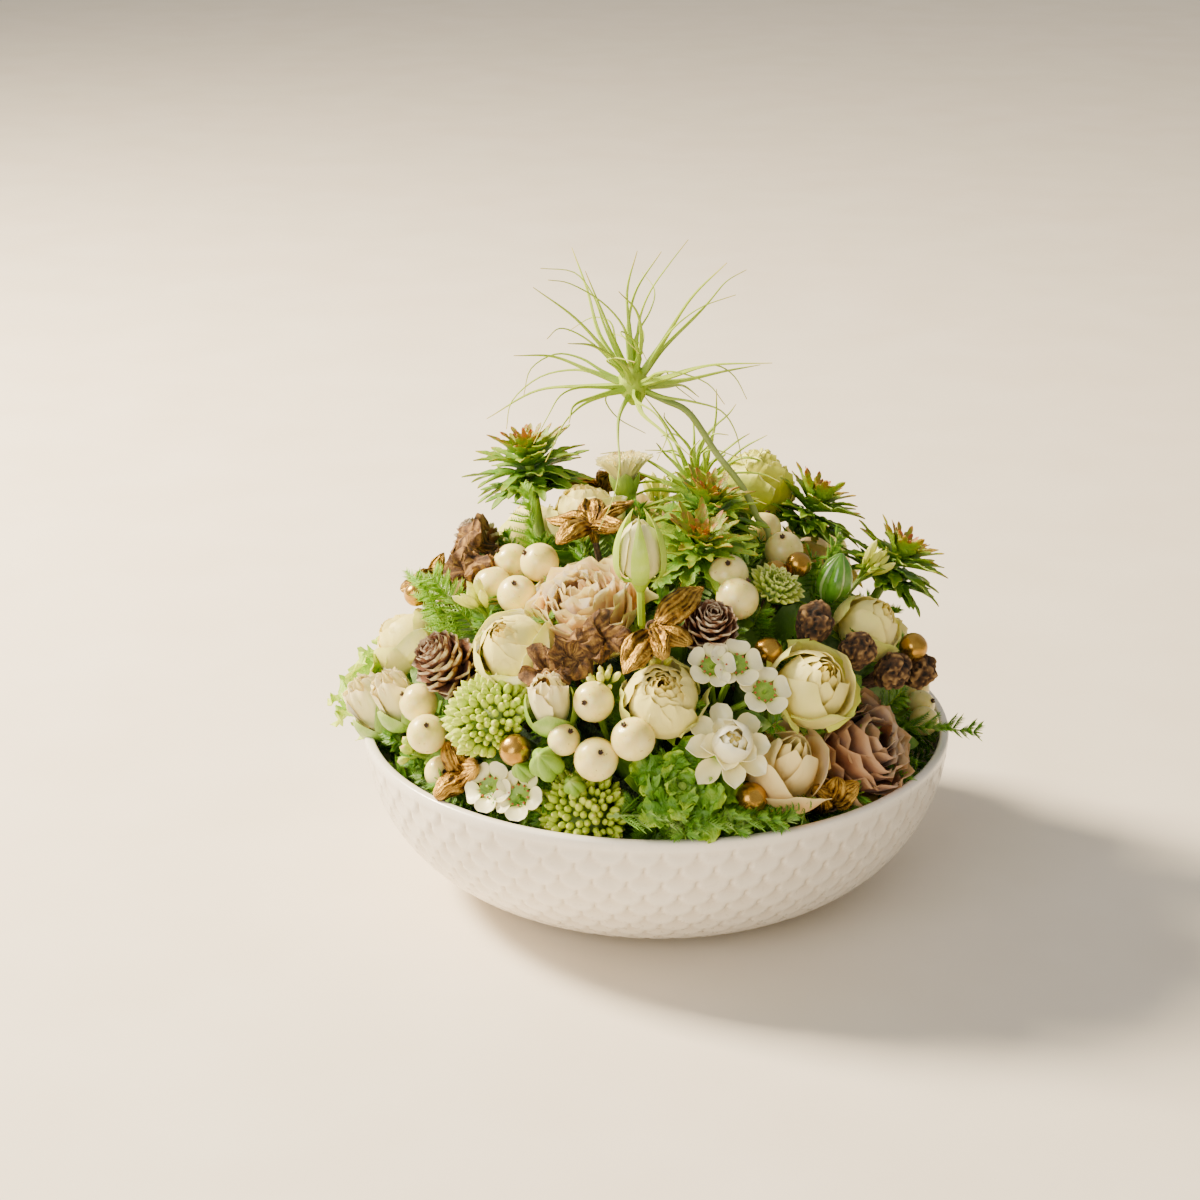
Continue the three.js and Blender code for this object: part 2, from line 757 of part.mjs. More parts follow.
plant("dusty_rose_c", DUSTY, each(rose(42, 26, 1), [at(-174, 50, { sink: 18 })]));
plant("peach_rose_b", PEACH, each(rose(34, 28, 0.3), [at(132, 46, { sink: 17 })]));
plant("cream_spray_right", CREAM, [
  [rose(24, 22, 0.4), at(68, 49, { sink: 14 })],
  [rose(26, 22, 0.5), at(112, 33, { out: -4, sink: 14 })],
], { fork: [90, 42, 78] });
plant("cream_spray_back", CREAM, [
  [rose(30, 24, 0.4), at(152, 34, { out: -3, sink: 15 })],
  [rose(28, 24, 0.2), at(173, 30.4, { out: -3.2, sink: 15 })],
], { fork: [162, 34, 80] });
plant("cream_spray_left", CREAM, [
  [rose(30, 24, 0.5), at(-146, 33, { out: -4, sink: 15 })],
  [rose(28, 22, 0.2), at(-142, 52, { sink: 14 })],
], { fork: [-144, 43, 80] });
plant("sedum_b", SEDUM, each(sedum(30, 18), [at(-17, 27, { out: -11, sink: 10 })]));
plant("sedum_a", SEDUM, each(sedum(30, 20), [at(-40.2, 39.5, { out: 0.4, sink: 13 })]));
plant("sedum_c", SEDUM, each(sedum(34, 20), [at(-122, 31.4, { out: -5.2, sink: 12 })]));
plant("bract_head_c", BRACT, [[bract, at(102, 47, { out: 6, face: [102, 60] })]], { leafy: true });
plant("bract_head_d", BRACT, each(bract, [at(119, 60, { out: 4 })]), { leafy: true });
const lowerAirPlant = airPlant(15, 12, 34, 5);
plant("air_plant_b", AIR_PLANT, each(lowerAirPlant, [at(159, 71, { out: 8, sink: 8 })]), { leafy: true });

// Cones, pods and husks.
plant("cone_a", BARK, each(cone(25, 26), [at(-57, 44, { sink: 14 })]));
plant("cone_b", BARK, each(cone(22, 21), [at(14, 57, { sink: 11 })]));
plant("cone_twig_back", BARK, [
  [cone(21, 22), at(-116, 54, { sink: 12 })],
  [cone(23, 24), at(152, 56, { sink: 12 })],
], { fork: [178, 74, 56] });
const clump = splitPods([
  [20, 35, 15, 11],
  [140, 30, 15, 11],
  [260, 35, 15, 11],
]);
const steepClump = splitPods([
  [20, 40, 14, 10],
  [140, 35, 14, 10],
  [260, 45, 14, 10],
]);
const star = splitPods([
  [10, 5, 20, 10],
  [82, 12, 18, 9],
  [150, 5, 19, 10],
  [222, 10, 17, 9],
  [294, 5, 20, 10],
]);
const cross = splitPods([
  [43, 6, 23, 11],
  [243, 4, 23, 11],
  [283, 12, 17, 9],
  [328, 8, 15, 9],
]);
plant("gold_pods_d", GOLD, [
  [clump, at(-45, 28.4, { out: -4.2, sink: 10 })],
  [berry(5.5), at(-30, 35, { out: 0.4, sink: 6 })],
], { fork: [-38, 31, 86] });
plant("gold_pods_c", GOLD, each(steepClump, [at(37, 25, { out: -5, sink: 8 })]), { leafy: true });
plant("gold_pods_e", GOLD, each(clump, [at(-104, 46, { sink: 8 })]));
plant("gold_star_a", GOLD, each(star, [at(-63, 78, { out: 3, sink: 6 })]), { leafy: true });
plant("gold_star_b", GOLD, each(cross, [at(-2, 56, { out: 4, sink: 6 })]), { leafy: true });
plant("gold_star_c", GOLD, each(star, [at(-160, 64, { out: 3, sink: 6 })]), { leafy: true });
plant("dried_a", HUSK, [
  [husk(12, 0), at(-15, 56, { sink: 5 })],
  [husk(12, 60), at(-24, 52, { sink: 6 })],
  [husk(12, 120), at(-29, 47, { sink: 6 })],
], { fork: [-26, 51, 92] });
plant("dried_b", HUSK, [
  [husk(14, 30), at(-100, 60, { sink: 5 })],
  [husk(13, 90), at(-80, 57, { sink: 6 })],
], { fork: [-91, 58, 84] });
plant("dried_c", BARK, [
  [knobble(14, 3), at(46, 54, { sink: 7 })],
  [knobble(13, 4), at(54, 47, { sink: 7 })],
  [knobble(13, 5), at(63, 41, { sink: 7 })],
  [knobble(13, 7), at(76, 37, { sink: 7 })],
], { fork: [62, 45, 84] });
plant("gold_beads", GOLD, [
  [berry(5.5), at(18, 29.3, { out: -1.6, sink: 8 })],
  [berry(5), at(31, 53)],
  [berry(5), at(57, 66, { out: 1 })],
], { fork: [30, 48, 56] });

// Small heads and sprays.
plant("fern_right", FERN, [
  [fernSprig(44, 7, 11, 0.3), at(76, 25, { out: 8, sink: 32, face: [72, 26] })],
  [fernSprig(32, 5, 11, 0.2), at(90, 58, { sink: 26 })],
  [fernSprig(32, 5, 11, 0.2), at(164, 44, { sink: 28 })],
], { fork: [65, 34, 56] });
plant("mum", LIME, each(chrysanthemum(23, 12), [at(42.6, 62, { out: 0.8, sink: 6 })]));
plant("striped_bud", BRACT, each(ribbedBud(14, 20), [at(67, 58, { sink: 8, face: [60, 75] })]));
plant("carnation", CREAM, each(fringedBloom(20, 22), [at(-159, 75.9, { out: 5.5, sink: 14 })]));
plant("snowberry_a", BERRY, [
  [berry(7), at(-77, 64)],
  [berry(7), at(-60, 67, { out: 2 })],
  [berry(7), at(-68, 59, { out: 1 })],
  [berry(7), at(-54, 60, { out: 1 })],
], { fork: [-64, 62, 92] });
plant("snowberry_b", BERRY, [
  [berry(7), at(-15, 44.5, { sink: 8 })],
  [berry(7.5), at(-7.5, 38.6, { out: 0.8, sink: 8 })],
  [berry(7.5), at(-12, 36, { sink: 8 })],
  [berry(5.5), at(-20, 38, { sink: 6 })],
], { fork: [-13, 40, 84] });
plant("snowberry_c", BERRY, [
  [berry(7), at(76, 67.8, { out: 1.1 })],
  [berry(6), at(100, 71, { out: 2 })],
  [berry(7.5), at(27, 62.2, { out: 1.1, sink: 10 })],
  [berry(7), at(28.8, 67, { out: 0.8, sink: 8 })],
], { fork: [50, 72, 80] });
plant("snowberry_e", BERRY, [
  [berry(7), at(-53.9, 32.5, { out: 2.6, sink: 10 })],
  [berry(7), at(-62, 36, { sink: 10 })],
  [berry(6), at(-53, 27, { out: -4, sink: 10 })],
], { fork: [-52, 32, 84] });
plant("snowberry_f", BERRY, [
  [berry(5.5), at(88, 28, { out: 1 })],
  [berry(5.5), at(82.9, 26.5, { out: 2.1 })],
  [berry(7), at(96, 29, { sink: 14 })],
], { fork: [88, 27, 88] });
plant("snowberry_g", BERRY, [
  [berry(7.5), at(-168, 33, { sink: 8 })],
  [berry(7), at(-160, 37, { sink: 8 })],
  [berry(7), at(-163, 28, { sink: 10 })],
], { fork: [-164, 33, 86] });
plant("waxflower_a", WHITE, [
  [waxflower(16), at(18, 50, { sink: 6 })],
  [waxflower(16), at(23, 45, { sink: 6 })],
  [waxflower(15), at(11.8, 50, { out: 0.8, sink: 6 })],
], { fork: [17, 48, 92] });
plant("waxflower_b", WHITE, [
  [waxflower(16), at(-36, 28, { out: -3, sink: 7 })],
  [waxflower(16), at(-29, 28, { out: -3, sink: 7 })],
], { fork: [-33, 28, 86] });
plant("waxflower_c", WHITE, [
  [waxflower(17), at(132, 28.4, { out: -2.2, sink: 7 })],
  [waxflower(17), at(140, 31, { out: -1, sink: 7 })],
  [waxflower(16), at(124, 31, { out: -1, sink: 7 })],
], { fork: [132, 30, 86] });
plant("white_buds_a", WHITE, [
  [bractedBud(15, 26), at(-83, 27.2, { out: 1.1, sink: 10, face: [-80, 60] })],
  [bractedBud(14, 24), at(-71, 34, { out: 0.4, sink: 12, face: [-70, 65] })],
], { fork: [-77, 30, 88] });
plant("white_buds_b", WHITE, [
  [bractedBud(13, 23), at(-24.4, 43.5, { out: 1.5, sink: 12, face: [-23, 72] })],
  [ribbedBud(12, 14), at(-23, 34, { sink: 8 })],
], { fork: [-23, 40, 86] });

// Leaves.
plant("bract_head_b", BRACT, each(bract, [at(22, 73, { sink: 10 })]), { leafy: true });
plant("bract_head_e", BRACT, each(bract, [at(62, 81)]), { leafy: true });
const rosette = curledLeaves([
  [0, 20, 25],
  [75, 18, 40],
  [150, 18, 20],
  [225, 18, 35],
  [300, 20, 25],
]);
const looseRosette = curledLeaves([
  [0, 20, 35],
  [90, 20, 20],
  [180, 24, 10],
  [270, 20, 20],
]);
plant("curled_leaf_a", FRILL, each(rosette, [at(4, 32, { out: -3, sink: 8 })]), { leafy: true });
plant("curled_leaf_b", FRILL, each(looseRosette, [at(-95, 27, { out: -2, sink: 8 })]), { leafy: true });
plant("fern_left", FERN, [
  [fernSprig(32, 5, 11, 0.2), at(-74.5, 47.4, { out: 1.9, sink: 26 })],
  [fernSprig(32, 5, 11, 0.2), at(-106, 66, { out: 0.4, sink: 26 })],
  [fernSprig(32, 5, 11, 0.2), at(-134.2, 42.5, { out: 0.4, sink: 26 })],
], { fork: [-100, 58, 56] });
plant("fern_front", FERN, [
  [fernSprig(34, 5, 11, 0.2), at(10.7, 26, { out: -3.2, sink: 28 })],
  [fernSprig(30, 5, 10, 0.2), at(-1, 25, { out: -4, sink: 24 })],
], { fork: [2, 30, 56] });

add("floral_foam", foam(), FOAM);
add("bowl", bowl(), PORCELAIN);

export default arrangement;
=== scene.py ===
import math
import random

import bmesh
import bpy
from mathutils import Matrix, Vector, noise


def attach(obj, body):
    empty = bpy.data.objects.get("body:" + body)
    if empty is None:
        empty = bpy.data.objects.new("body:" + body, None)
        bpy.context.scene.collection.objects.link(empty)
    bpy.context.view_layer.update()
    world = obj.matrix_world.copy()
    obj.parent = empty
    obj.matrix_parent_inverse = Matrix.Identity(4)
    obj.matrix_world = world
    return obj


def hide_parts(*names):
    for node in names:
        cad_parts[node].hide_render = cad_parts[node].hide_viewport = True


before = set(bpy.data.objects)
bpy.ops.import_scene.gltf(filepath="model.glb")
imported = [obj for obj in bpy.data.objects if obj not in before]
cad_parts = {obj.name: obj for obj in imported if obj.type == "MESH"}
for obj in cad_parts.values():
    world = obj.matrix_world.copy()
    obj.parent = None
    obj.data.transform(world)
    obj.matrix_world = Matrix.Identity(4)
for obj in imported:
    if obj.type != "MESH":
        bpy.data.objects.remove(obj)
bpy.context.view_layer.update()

# ---- Bowl ----
# One piece of white porcelain, turned, with rows of round overlapping scales pressed in low relief into its
# outside, a plain band under the rim and a satin glaze. It stands on a flat foot.

MM = 0.001
TURN = 2 * math.pi
FOOT_RADIUS, FOOT_HEIGHT = 50, 2
BELLY_START, RIM_RADIUS, BOWL_HEIGHT = 54, 110, 61
WALL, FLOOR_HEIGHT, LIP = 3.5, 7, 60
STEPS_AROUND, STEPS_UP = 560, 74
SCALES_AROUND, SCALE_ROWS, SCALE_DEPTH = 56, 14, 1.7
SCALES_FROM, SCALES_TO = 2 / STEPS_UP, 72 / STEPS_UP
SCALE_SLOPE, SCALE_EDGE, FADE_LOW, FADE_HIGH = 0.8, 0.14, 0.06, 0.02
SHARP_EDGE = 55


def hexed(code):
    """The linear colour of a six-digit sRGB code."""
    parts = [int(code[i : i + 2], 16) / 255 for i in (0, 2, 4)]
    return (*[p / 12.92 if p <= 0.04045 else ((p + 0.055) / 1.055) ** 2.4 for p in parts], 1)


class Field:
    """A number, colour or place that varies over a surface: one output of a material's node."""

    def __init__(self, tree, kind, inputs, output=0, **settings):
        node = tree.nodes.new("ShaderNode" + kind)
        for name, value in settings.items():
            setattr(node, name, value)
        for socket, value in inputs.items():
            if isinstance(value, Field):
                tree.links.new(value.socket, node.inputs[socket])
            else:
                node.inputs[socket].default_value = value
        self.tree, self.node, self.socket = tree, node, node.outputs[output]

    def then(self, kind, inputs, output=0, **settings):
        return Field(self.tree, kind, inputs, output, **settings)

    def math(self, operation, *terms):
        return self.then("Math", dict(enumerate((self, *terms))), operation=operation)

    def __add__(self, other):
        return self.math("ADD", other)

    def __sub__(self, other):
        return self.math("SUBTRACT", other)

    def __rsub__(self, other):
        return self.then("Math", {0: other, 1: self}, operation="SUBTRACT")

    def __mul__(self, other):
        return self.math("MULTIPLY", other)

    __radd__, __rmul__ = __add__, __mul__

    def within(self, low, high):
        """From 0 at low to 1 at high."""
        return self.then("MapRange", {0: self, 1: low, 2: high}, interpolation_type="SMOOTHSTEP")

    def ramp(self, *stops):
        """Colours at places from 0 to 1."""
        made = self.then("ValToRGB", {0: self})
        elements = made.node.color_ramp.elements
        for place, colour in stops[2:]:
            elements.new(place)
        for element, (place, colour) in zip(elements, stops):
            element.position, element.color = place, hexed(colour)
        return made

    def between(self, first, second):
        """The first colour where this is 0, the second where it is 1."""
        return self.then("Mix", {0: self, 6: first, 7: second}, output=2, data_type="RGBA")


class Finish:
    """A material: constants set on the shader, and colour, roughness and relief from its nodes."""

    def __init__(self, name, **constants):
        self.material = bpy.data.materials.new(name)
        self.material.use_nodes = True
        self.tree = self.material.node_tree
        self.shader = self.tree.nodes["Principled BSDF"]
        for socket, value in constants.items():
            self.shader.inputs[socket.replace("_", " ")].default_value = value

    def attribute(self, name):
        return Field(self.tree, "Attribute", {}, output=2, attribute_name=name)

    def place(self):
        return Field(self.tree, "TexCoord", {}, output=3)

    def grain(self, size, detail=3, stretch=(1, 1, 1)):
        """Cloudy noise with lumps of about that many millimetres."""
        spot = Field(self.tree, "Mapping", {0: self.place(), 3: stretch})
        return Field(self.tree, "TexNoise", {"Vector": spot, "Scale": 1 / (size * MM), "Detail": detail})

    def cells(self, size):
        """Distance to the nearest of points about that many millimetres apart, from 0."""
        return Field(self.tree, "TexVoronoi", {"Vector": self.place(), "Scale": 1 / (size * MM)})

    def paint(self, colour, roughness=None, relief=None, depth=0.1):
        """Links the colour, and if given the roughness and a relief of that depth in millimetres."""
        self.tree.links.new(colour.socket, self.shader.inputs["Base Color"])
        if roughness:
            self.tree.links.new(roughness.socket, self.shader.inputs["Roughness"])
        if relief:
            bump = Field(self.tree, "Bump", {"Height": relief, "Distance": depth * MM})
            self.tree.links.new(bump.socket, self.shader.inputs["Normal"])


def as_mesh(bm, name="shape"):
    mesh = bpy.data.meshes.new(name)
    bm.to_mesh(mesh)
    bm.free()
    return mesh


def finish_piece(name, bm, finishes, slot, *nodes):
    """Makes a shape in millimetres a piece of the scene that stands for the given nodes."""
    bmesh.ops.scale(bm, vec=(MM, MM, MM), verts=bm.verts)
    mesh = as_mesh(bm, name)
    mesh.shade_smooth()
    mesh.set_sharp_from_angle(angle=math.radians(SHARP_EDGE))
    for finish in finishes:
        mesh.materials.append(finish.material)
    piece = bpy.data.objects.new(name, mesh)
    bpy.context.scene.collection.objects.link(piece)
    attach(piece, "root")
    if nodes:
        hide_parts(*nodes)


def scales(around, up):
    """How proud a surface of round, overlapping scales stands: 1 at a scale's lower edge, less above it."""
    height = 0
    first = math.floor(2 * up) - 1
    for row in range(first, first + 4):
        across = (around + 0.5 * (row % 2)) % 1 - 0.5
        above = up - row / 2 + 0.5 * math.sqrt(1 - 4 * across**2)
        cover = min(max(above / SCALE_EDGE + 0.5, 0), 1)
        height += (1 - SCALE_SLOPE * above - height) * cover
    return height


def turned_bowl():
    spread, outer_rise, inner_rise = RIM_RADIUS - BELLY_START, LIP - FOOT_HEIGHT, LIP - FLOOR_HEIGHT
    inner_start, inner_rim, under = BELLY_START - WALL, RIM_RADIUS - WALL, BOWL_HEIGHT - 0.3
    quarter = [math.pi / 2 * i / STEPS_UP for i in range(STEPS_UP + 1)]
    outside = [(BELLY_START + spread * math.sin(a), LIP - outer_rise * math.cos(a)) for a in quarter]
    inside = [(inner_start + spread * math.sin(a), LIP - inner_rise * math.cos(a)) for a in quarter[::2]]
    lip = [(RIM_RADIUS - 0.3, under), (RIM_RADIUS - 1, BOWL_HEIGHT), (inner_rim + 1, BOWL_HEIGHT)]
    foot = [(0, 0), (FOOT_RADIUS - 1, 0), (FOOT_RADIUS, 0.5), (FOOT_RADIUS, FOOT_HEIGHT - 0.3)]
    foot.append((FOOT_RADIUS + 1, FOOT_HEIGHT))
    profile = [*foot, *outside, *lip, (inner_rim + 0.3, under), *reversed(inside), (0, FLOOR_HEIGHT)]
    bm = bmesh.new()
    hollow = bm.verts.layers.float.new("hollow")
    verts = [bm.verts.new((r, 0, z)) for r, z in profile]
    edges = [bm.edges.new(pair) for pair in zip(verts, verts[1:])]
    once_round = dict(axis=(0, 0, 1), cent=(0, 0, 0), steps=STEPS_AROUND, angle=TURN, use_merge=True)
    bmesh.ops.spin(bm, geom=verts + edges, **once_round)
    bmesh.ops.remove_doubles(bm, verts=bm.verts, dist=0.001)
    bmesh.ops.recalc_face_normals(bm, faces=bm.faces)
    for vert in bm.verts:
        radius = math.hypot(vert.co.x, vert.co.y)
        share = math.acos(min(max((LIP - vert.co.z) / outer_rise, 0), 1)) / (math.pi / 2)
        on_outside = radius > BELLY_START + spread * math.sin(share * math.pi / 2) - 0.1
        if on_outside and SCALES_FROM < share < SCALES_TO:
            around = SCALES_AROUND / 2 * math.atan2(vert.co.y, vert.co.x) / math.pi
            up = SCALE_ROWS / 2 * (share - SCALES_FROM) / (SCALES_TO - SCALES_FROM)
            fade = min((share - SCALES_FROM) / FADE_LOW, (SCALES_TO - share) / FADE_HIGH, 1)
            vert[hollow] = fade * (1 - scales(around, up))
            inward = SCALE_DEPTH * vert[hollow]
            vert.co.x *= 1 - inward / radius
            vert.co.y *= 1 - inward / radius
    return bm


porcelain = Finish("satin porcelain", Roughness=0.28, Coat_Weight=0.3, Coat_Roughness=0.12)
glaze = porcelain.grain(9).ramp((0.3, "ece4d4"), (0.7, "f3ecde"))
# The scales' hollows are painted darker tan by their depth: painted shade in the recesses of the relief.
glaze_with_painted_shade = (0.9 * porcelain.attribute("hollow")).between(glaze, hexed("b8a484"))
porcelain.paint(glaze_with_painted_shade, 0.22 + 0.14 * porcelain.grain(3), porcelain.grain(0.8), 0.02)
finish_piece("bowl_porcelain", turned_bowl(), [porcelain], "porcelain", "bowl")

# ---- Floral foam ----
# The block that holds the stems, of open-cell dark green foam, soaked. It stays as the frame has it, with the
# stems' holes, and gets its finish only.

soaked_foam = Finish("soaked floral foam", Roughness=0.95)
foam_green = soaked_foam.grain(4).ramp((0.3, "182812"), (0.7, "2c4422"))
soaked_foam.paint(foam_green, relief=soaked_foam.cells(0.9), depth=0.4)
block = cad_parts["floral_foam"]
block.data.materials.clear()
block.data.materials.append(soaked_foam.material)

# ---- Cream garden roses ----
# Small roses of 18 to 24 petals, 24 to 30 mm across: soft petals wrapped one over the next round a shut
# heart, green-tinged guard petals, a green hip with five sepals, and a stem that stands in the foam.

FOCUS = Vector((0, 0, 15))
DOME_RADIUS, DOME_HEIGHT, DOME_BASE = 104, 80, 64
STEM_END, STEM_RADIUS, FORK_PITCH = 58, 1.2, 3.5
GOLDEN = math.radians(137.508)
PETAL_THICKNESS, ROLL_FROM = 0.35, 0.62


def surface(columns, rows, place, tone=0, material=0, thickness=0):
    """A mesh whose points lie where place(across -1..1, along 0..1) says: a sheet of the given thickness or,
    with none, a closed form whose two sides meet and whose ends run to a point."""
    bm = bmesh.new()
    along, shade, around = (bm.verts.layers.float.new(name) for name in ("along", "tone", "around"))
    bmesh.ops.create_grid(bm, x_segments=columns, y_segments=rows, size=1)
    for vert in bm.verts:
        across, share = vert.co.x, (vert.co.y + 1) / 2
        vert[along], vert[shade], vert[around] = share, tone, across
        vert.co = place(across, share)
    if thickness:
        bmesh.ops.solidify(bm, geom=bm.faces[:], thickness=thickness)
    else:
        bmesh.ops.remove_doubles(bm, verts=bm.verts, dist=0.01)
    bmesh.ops.recalc_face_normals(bm, faces=bm.faces)
    for face in bm.faces:
        face.material_index = material
    return as_mesh(bm)


def gather(parts):
    """One shape of many, each a mesh that stays where it is or a mesh and the matrix that places it."""
    bm = bmesh.new()
    for part in parts:
        mesh, matrix = part if isinstance(part, tuple) else (part, Matrix.Identity(4))
        copy = mesh.copy()
        copy.transform(matrix)
        bm.from_mesh(copy)
        bpy.data.meshes.remove(copy)
    return bm


def gathered(parts):
    return as_mesh(gather(parts))


def about_z(angle):
    return Matrix.Rotation(angle, 4, "Z")


def ring(count, shape, turn=0.0):
    return [(shape, about_z(TURN * i / count + turn)) for i in range(count)]


def lathed(profile, wide=1, tall=1, sides=12, lobes=0, depth=0, material=1, twist=0):
    """A closed round form through (radius, height) points, which are shares of how wide and tall it is,
    pinched between its lobes."""
    rings = [(r * wide, z * tall) for r, z in profile]
    steps = len(rings) - 1

    def place(across, share):
        k = min(int(share * steps + 1e-6), steps - 1)
        part = share * steps - k
        (r0, z0), (r1, z1) = rings[k], rings[k + 1]
        angle = math.pi * across + twist * share
        dip = 1 - depth * (1 - abs(math.cos(lobes / 2 * angle))) if lobes else 1
        radius = (r0 + (r1 - r0) * part) * dip
        return radius * math.cos(angle), radius * math.sin(angle), z0 + (z1 - z0) * part

    return surface(sides, steps, place, 0, material)


def tube(path, radii, sides=6, material=1, tone=0, rows=0):
    """A closed stalk along a path of points, which it follows in a smooth curve if rows are given."""
    points = [Vector(p) for p in path]
    steps = rows or len(points) - 1

    def on_path(share):
        k = min(int(share * (len(points) - 1) + 1e-6), len(points) - 2)
        t = share * (len(points) - 1) - k
        a, b = points[k], points[k + 1]
        before = points[k - 1] if k else points[0] * 2 - points[1]
        after = points[k + 2] if k + 2 < len(points) else points[-1] * 2 - points[-2]
        bend, swing = 2 * before - 5 * a + 4 * b - after, 3 * a - before - 3 * b + after
        return 0.5 * (2 * a + (b - before) * t + bend * t**2 + swing * t**3)

    def place(across, share):
        share = min(max((share * (steps + 2) - 1) / steps, 0), 1) if radii[0] else share
        end = share * (len(radii) - 1)
        k = min(int(end), len(radii) - 2)
        radius = radii[k] + (radii[k + 1] - radii[k]) * (end - k)
        way = (on_path(min(share + 0.02, 1)) - on_path(max(share - 0.02, 0))).normalized()
        side = way.cross(Vector((0.31, 0.17, 1))).normalized()
        angle = math.pi * across
        return on_path(share) + radius * (side * math.cos(angle) + side.cross(way) * math.sin(angle))

    def closed(across, share):
        capped = min(share, 1 - share) < 0.5 / (steps + 2)
        return place(0, share).lerp(place(1, share), 0.5) if capped else place(across, share)

    return surface(sides, steps + 2, closed, tone, material)


def direction(bearing, rise):
    """From the focus, at a bearing that turns from the front (-Y) towards +X, and a rise."""
    b, a = math.radians(bearing), math.radians(rise)
    return Vector((math.sin(b) * math.cos(a), -math.cos(b) * math.cos(a), math.sin(a)))


def from_focus(bearing, rise, distance):
    return FOCUS + direction(bearing, rise) * distance


def on_dome(bearing, rise, out=0):
    way = direction(bearing, rise)
    across, up = math.hypot(way.x, way.y) / DOME_RADIUS, way.z / DOME_HEIGHT
    lift = (FOCUS.z - DOME_BASE) / DOME_HEIGHT
    a, b, c = across**2 + up**2, up * lift, lift**2 - 1
    return FOCUS + way * ((-b + math.sqrt(b * b - a * c)) / a + out)


def standing(bearing, rise, out=0, sink=12, face=None, spin=0):
    """The matrix that stands a head on the dome: its +Z points out."""
    face = face or (bearing, max(rise, 20 + 0.6 * rise))
    way = direction(*face)
    level = Vector((math.cos(math.radians(face[0])), math.sin(math.radians(face[0])), 0))
    turn = Matrix((level, way.cross(level), way)).transposed().to_4x4()
    return Matrix.Translation(on_dome(bearing, rise, out) - way * sink) @ turn @ about_z(math.radians(spin))


def at(head, bearing, rise, **more):
    """A head and its spot on the dome."""
    return head, dict(bearing=bearing, rise=rise, **more)


def plant(name, slot, finishes, *heads, fork=None, added=False):
    """A piece planted in the foam: heads at their spots, on stems that meet at the fork if there is one. It
    stands for the node of its name, unless it is added to what the frame has."""
    deep = fork and fork[2] < STEM_END
    parts, stems = [], []
    for i, (head, spot) in enumerate(heads):
        matrix = standing(**spot)
        end = from_focus(spot["bearing"], spot["rise"], STEM_END)
        if fork:
            end = from_focus(fork[0], fork[1], fork[2] + (0 if deep else FORK_PITCH * i))
        parts.append((head, matrix))
        stems.append([matrix @ Vector((0, 0, 3)), end])
    if fork and not deep:
        stems.append([stems[-1][1], from_focus(fork[0], fork[1], STEM_END)])
    parts += [tube(path, [STEM_RADIUS] * 2) for path in stems]
    if added:
        finish_piece(name, gather(parts), finishes, slot)
    else:
        finish_piece(name + "_bloom", gather(parts), finishes, slot, name)


def on_curve(curve, t):
    """The (radius, height) at a share of a curve that four such points steer."""
    weights = ((1 - t) ** 3, 3 * t * (1 - t) ** 2, 3 * t * t * (1 - t), t**3)
    return [sum(w * p[k] for w, p in zip(weights, curve)) for k in (0, 1)]


def petal(half_wrap, curve, ruffle=0.0, roll=0.0, drop=0.2, point=2.5, waves=3, phase=0.0, tone=0.5,
          detail=(9, 8)):
    """A petal that wraps the Z axis by half_wrap each way and follows a curve from claw to edge. Its corners
    drop, its edge waves and rolls out."""

    def place(across, share):
        radius, height = on_curve(curve, share * (1 - drop * abs(across) ** point * share))
        edge = share**4
        curl = max(share - ROLL_FROM, 0) / (1 - ROLL_FROM)
        radius *= 1 + 0.07 * across
        radius += ruffle * edge * math.sin(waves * math.pi * across + phase) + roll * curl**2
        height += 0.5 * ruffle * edge * math.cos(waves * 1.7 * across + phase) - 0.55 * roll * curl**3
        angle = half_wrap * across * (0.3 + 0.7 * math.sin(min(share / 0.7, 1) * math.pi / 2))
        return radius * math.cos(angle), radius * math.sin(angle), height

    return surface(*detail, place, tone, 0, PETAL_THICKNESS)


def sepals(radius, length, lift=35):
    """Five narrow green leaves that spread below a bloom."""

    def place(across, share):
        half = 0.32 * length * math.sin(math.pi * (0.16 + 0.84 * share)) * (1 - 0.4 * share)
        lean = math.radians(lift) * (1 - 0.5 * share)
        height = share * length * math.sin(lean) + 0.25 * half * across**2
        return 0.3 * radius + share * length * math.cos(lean), across * half, height

    return ring(5, surface(4, 7, place, 0.3, 1, 0.4))


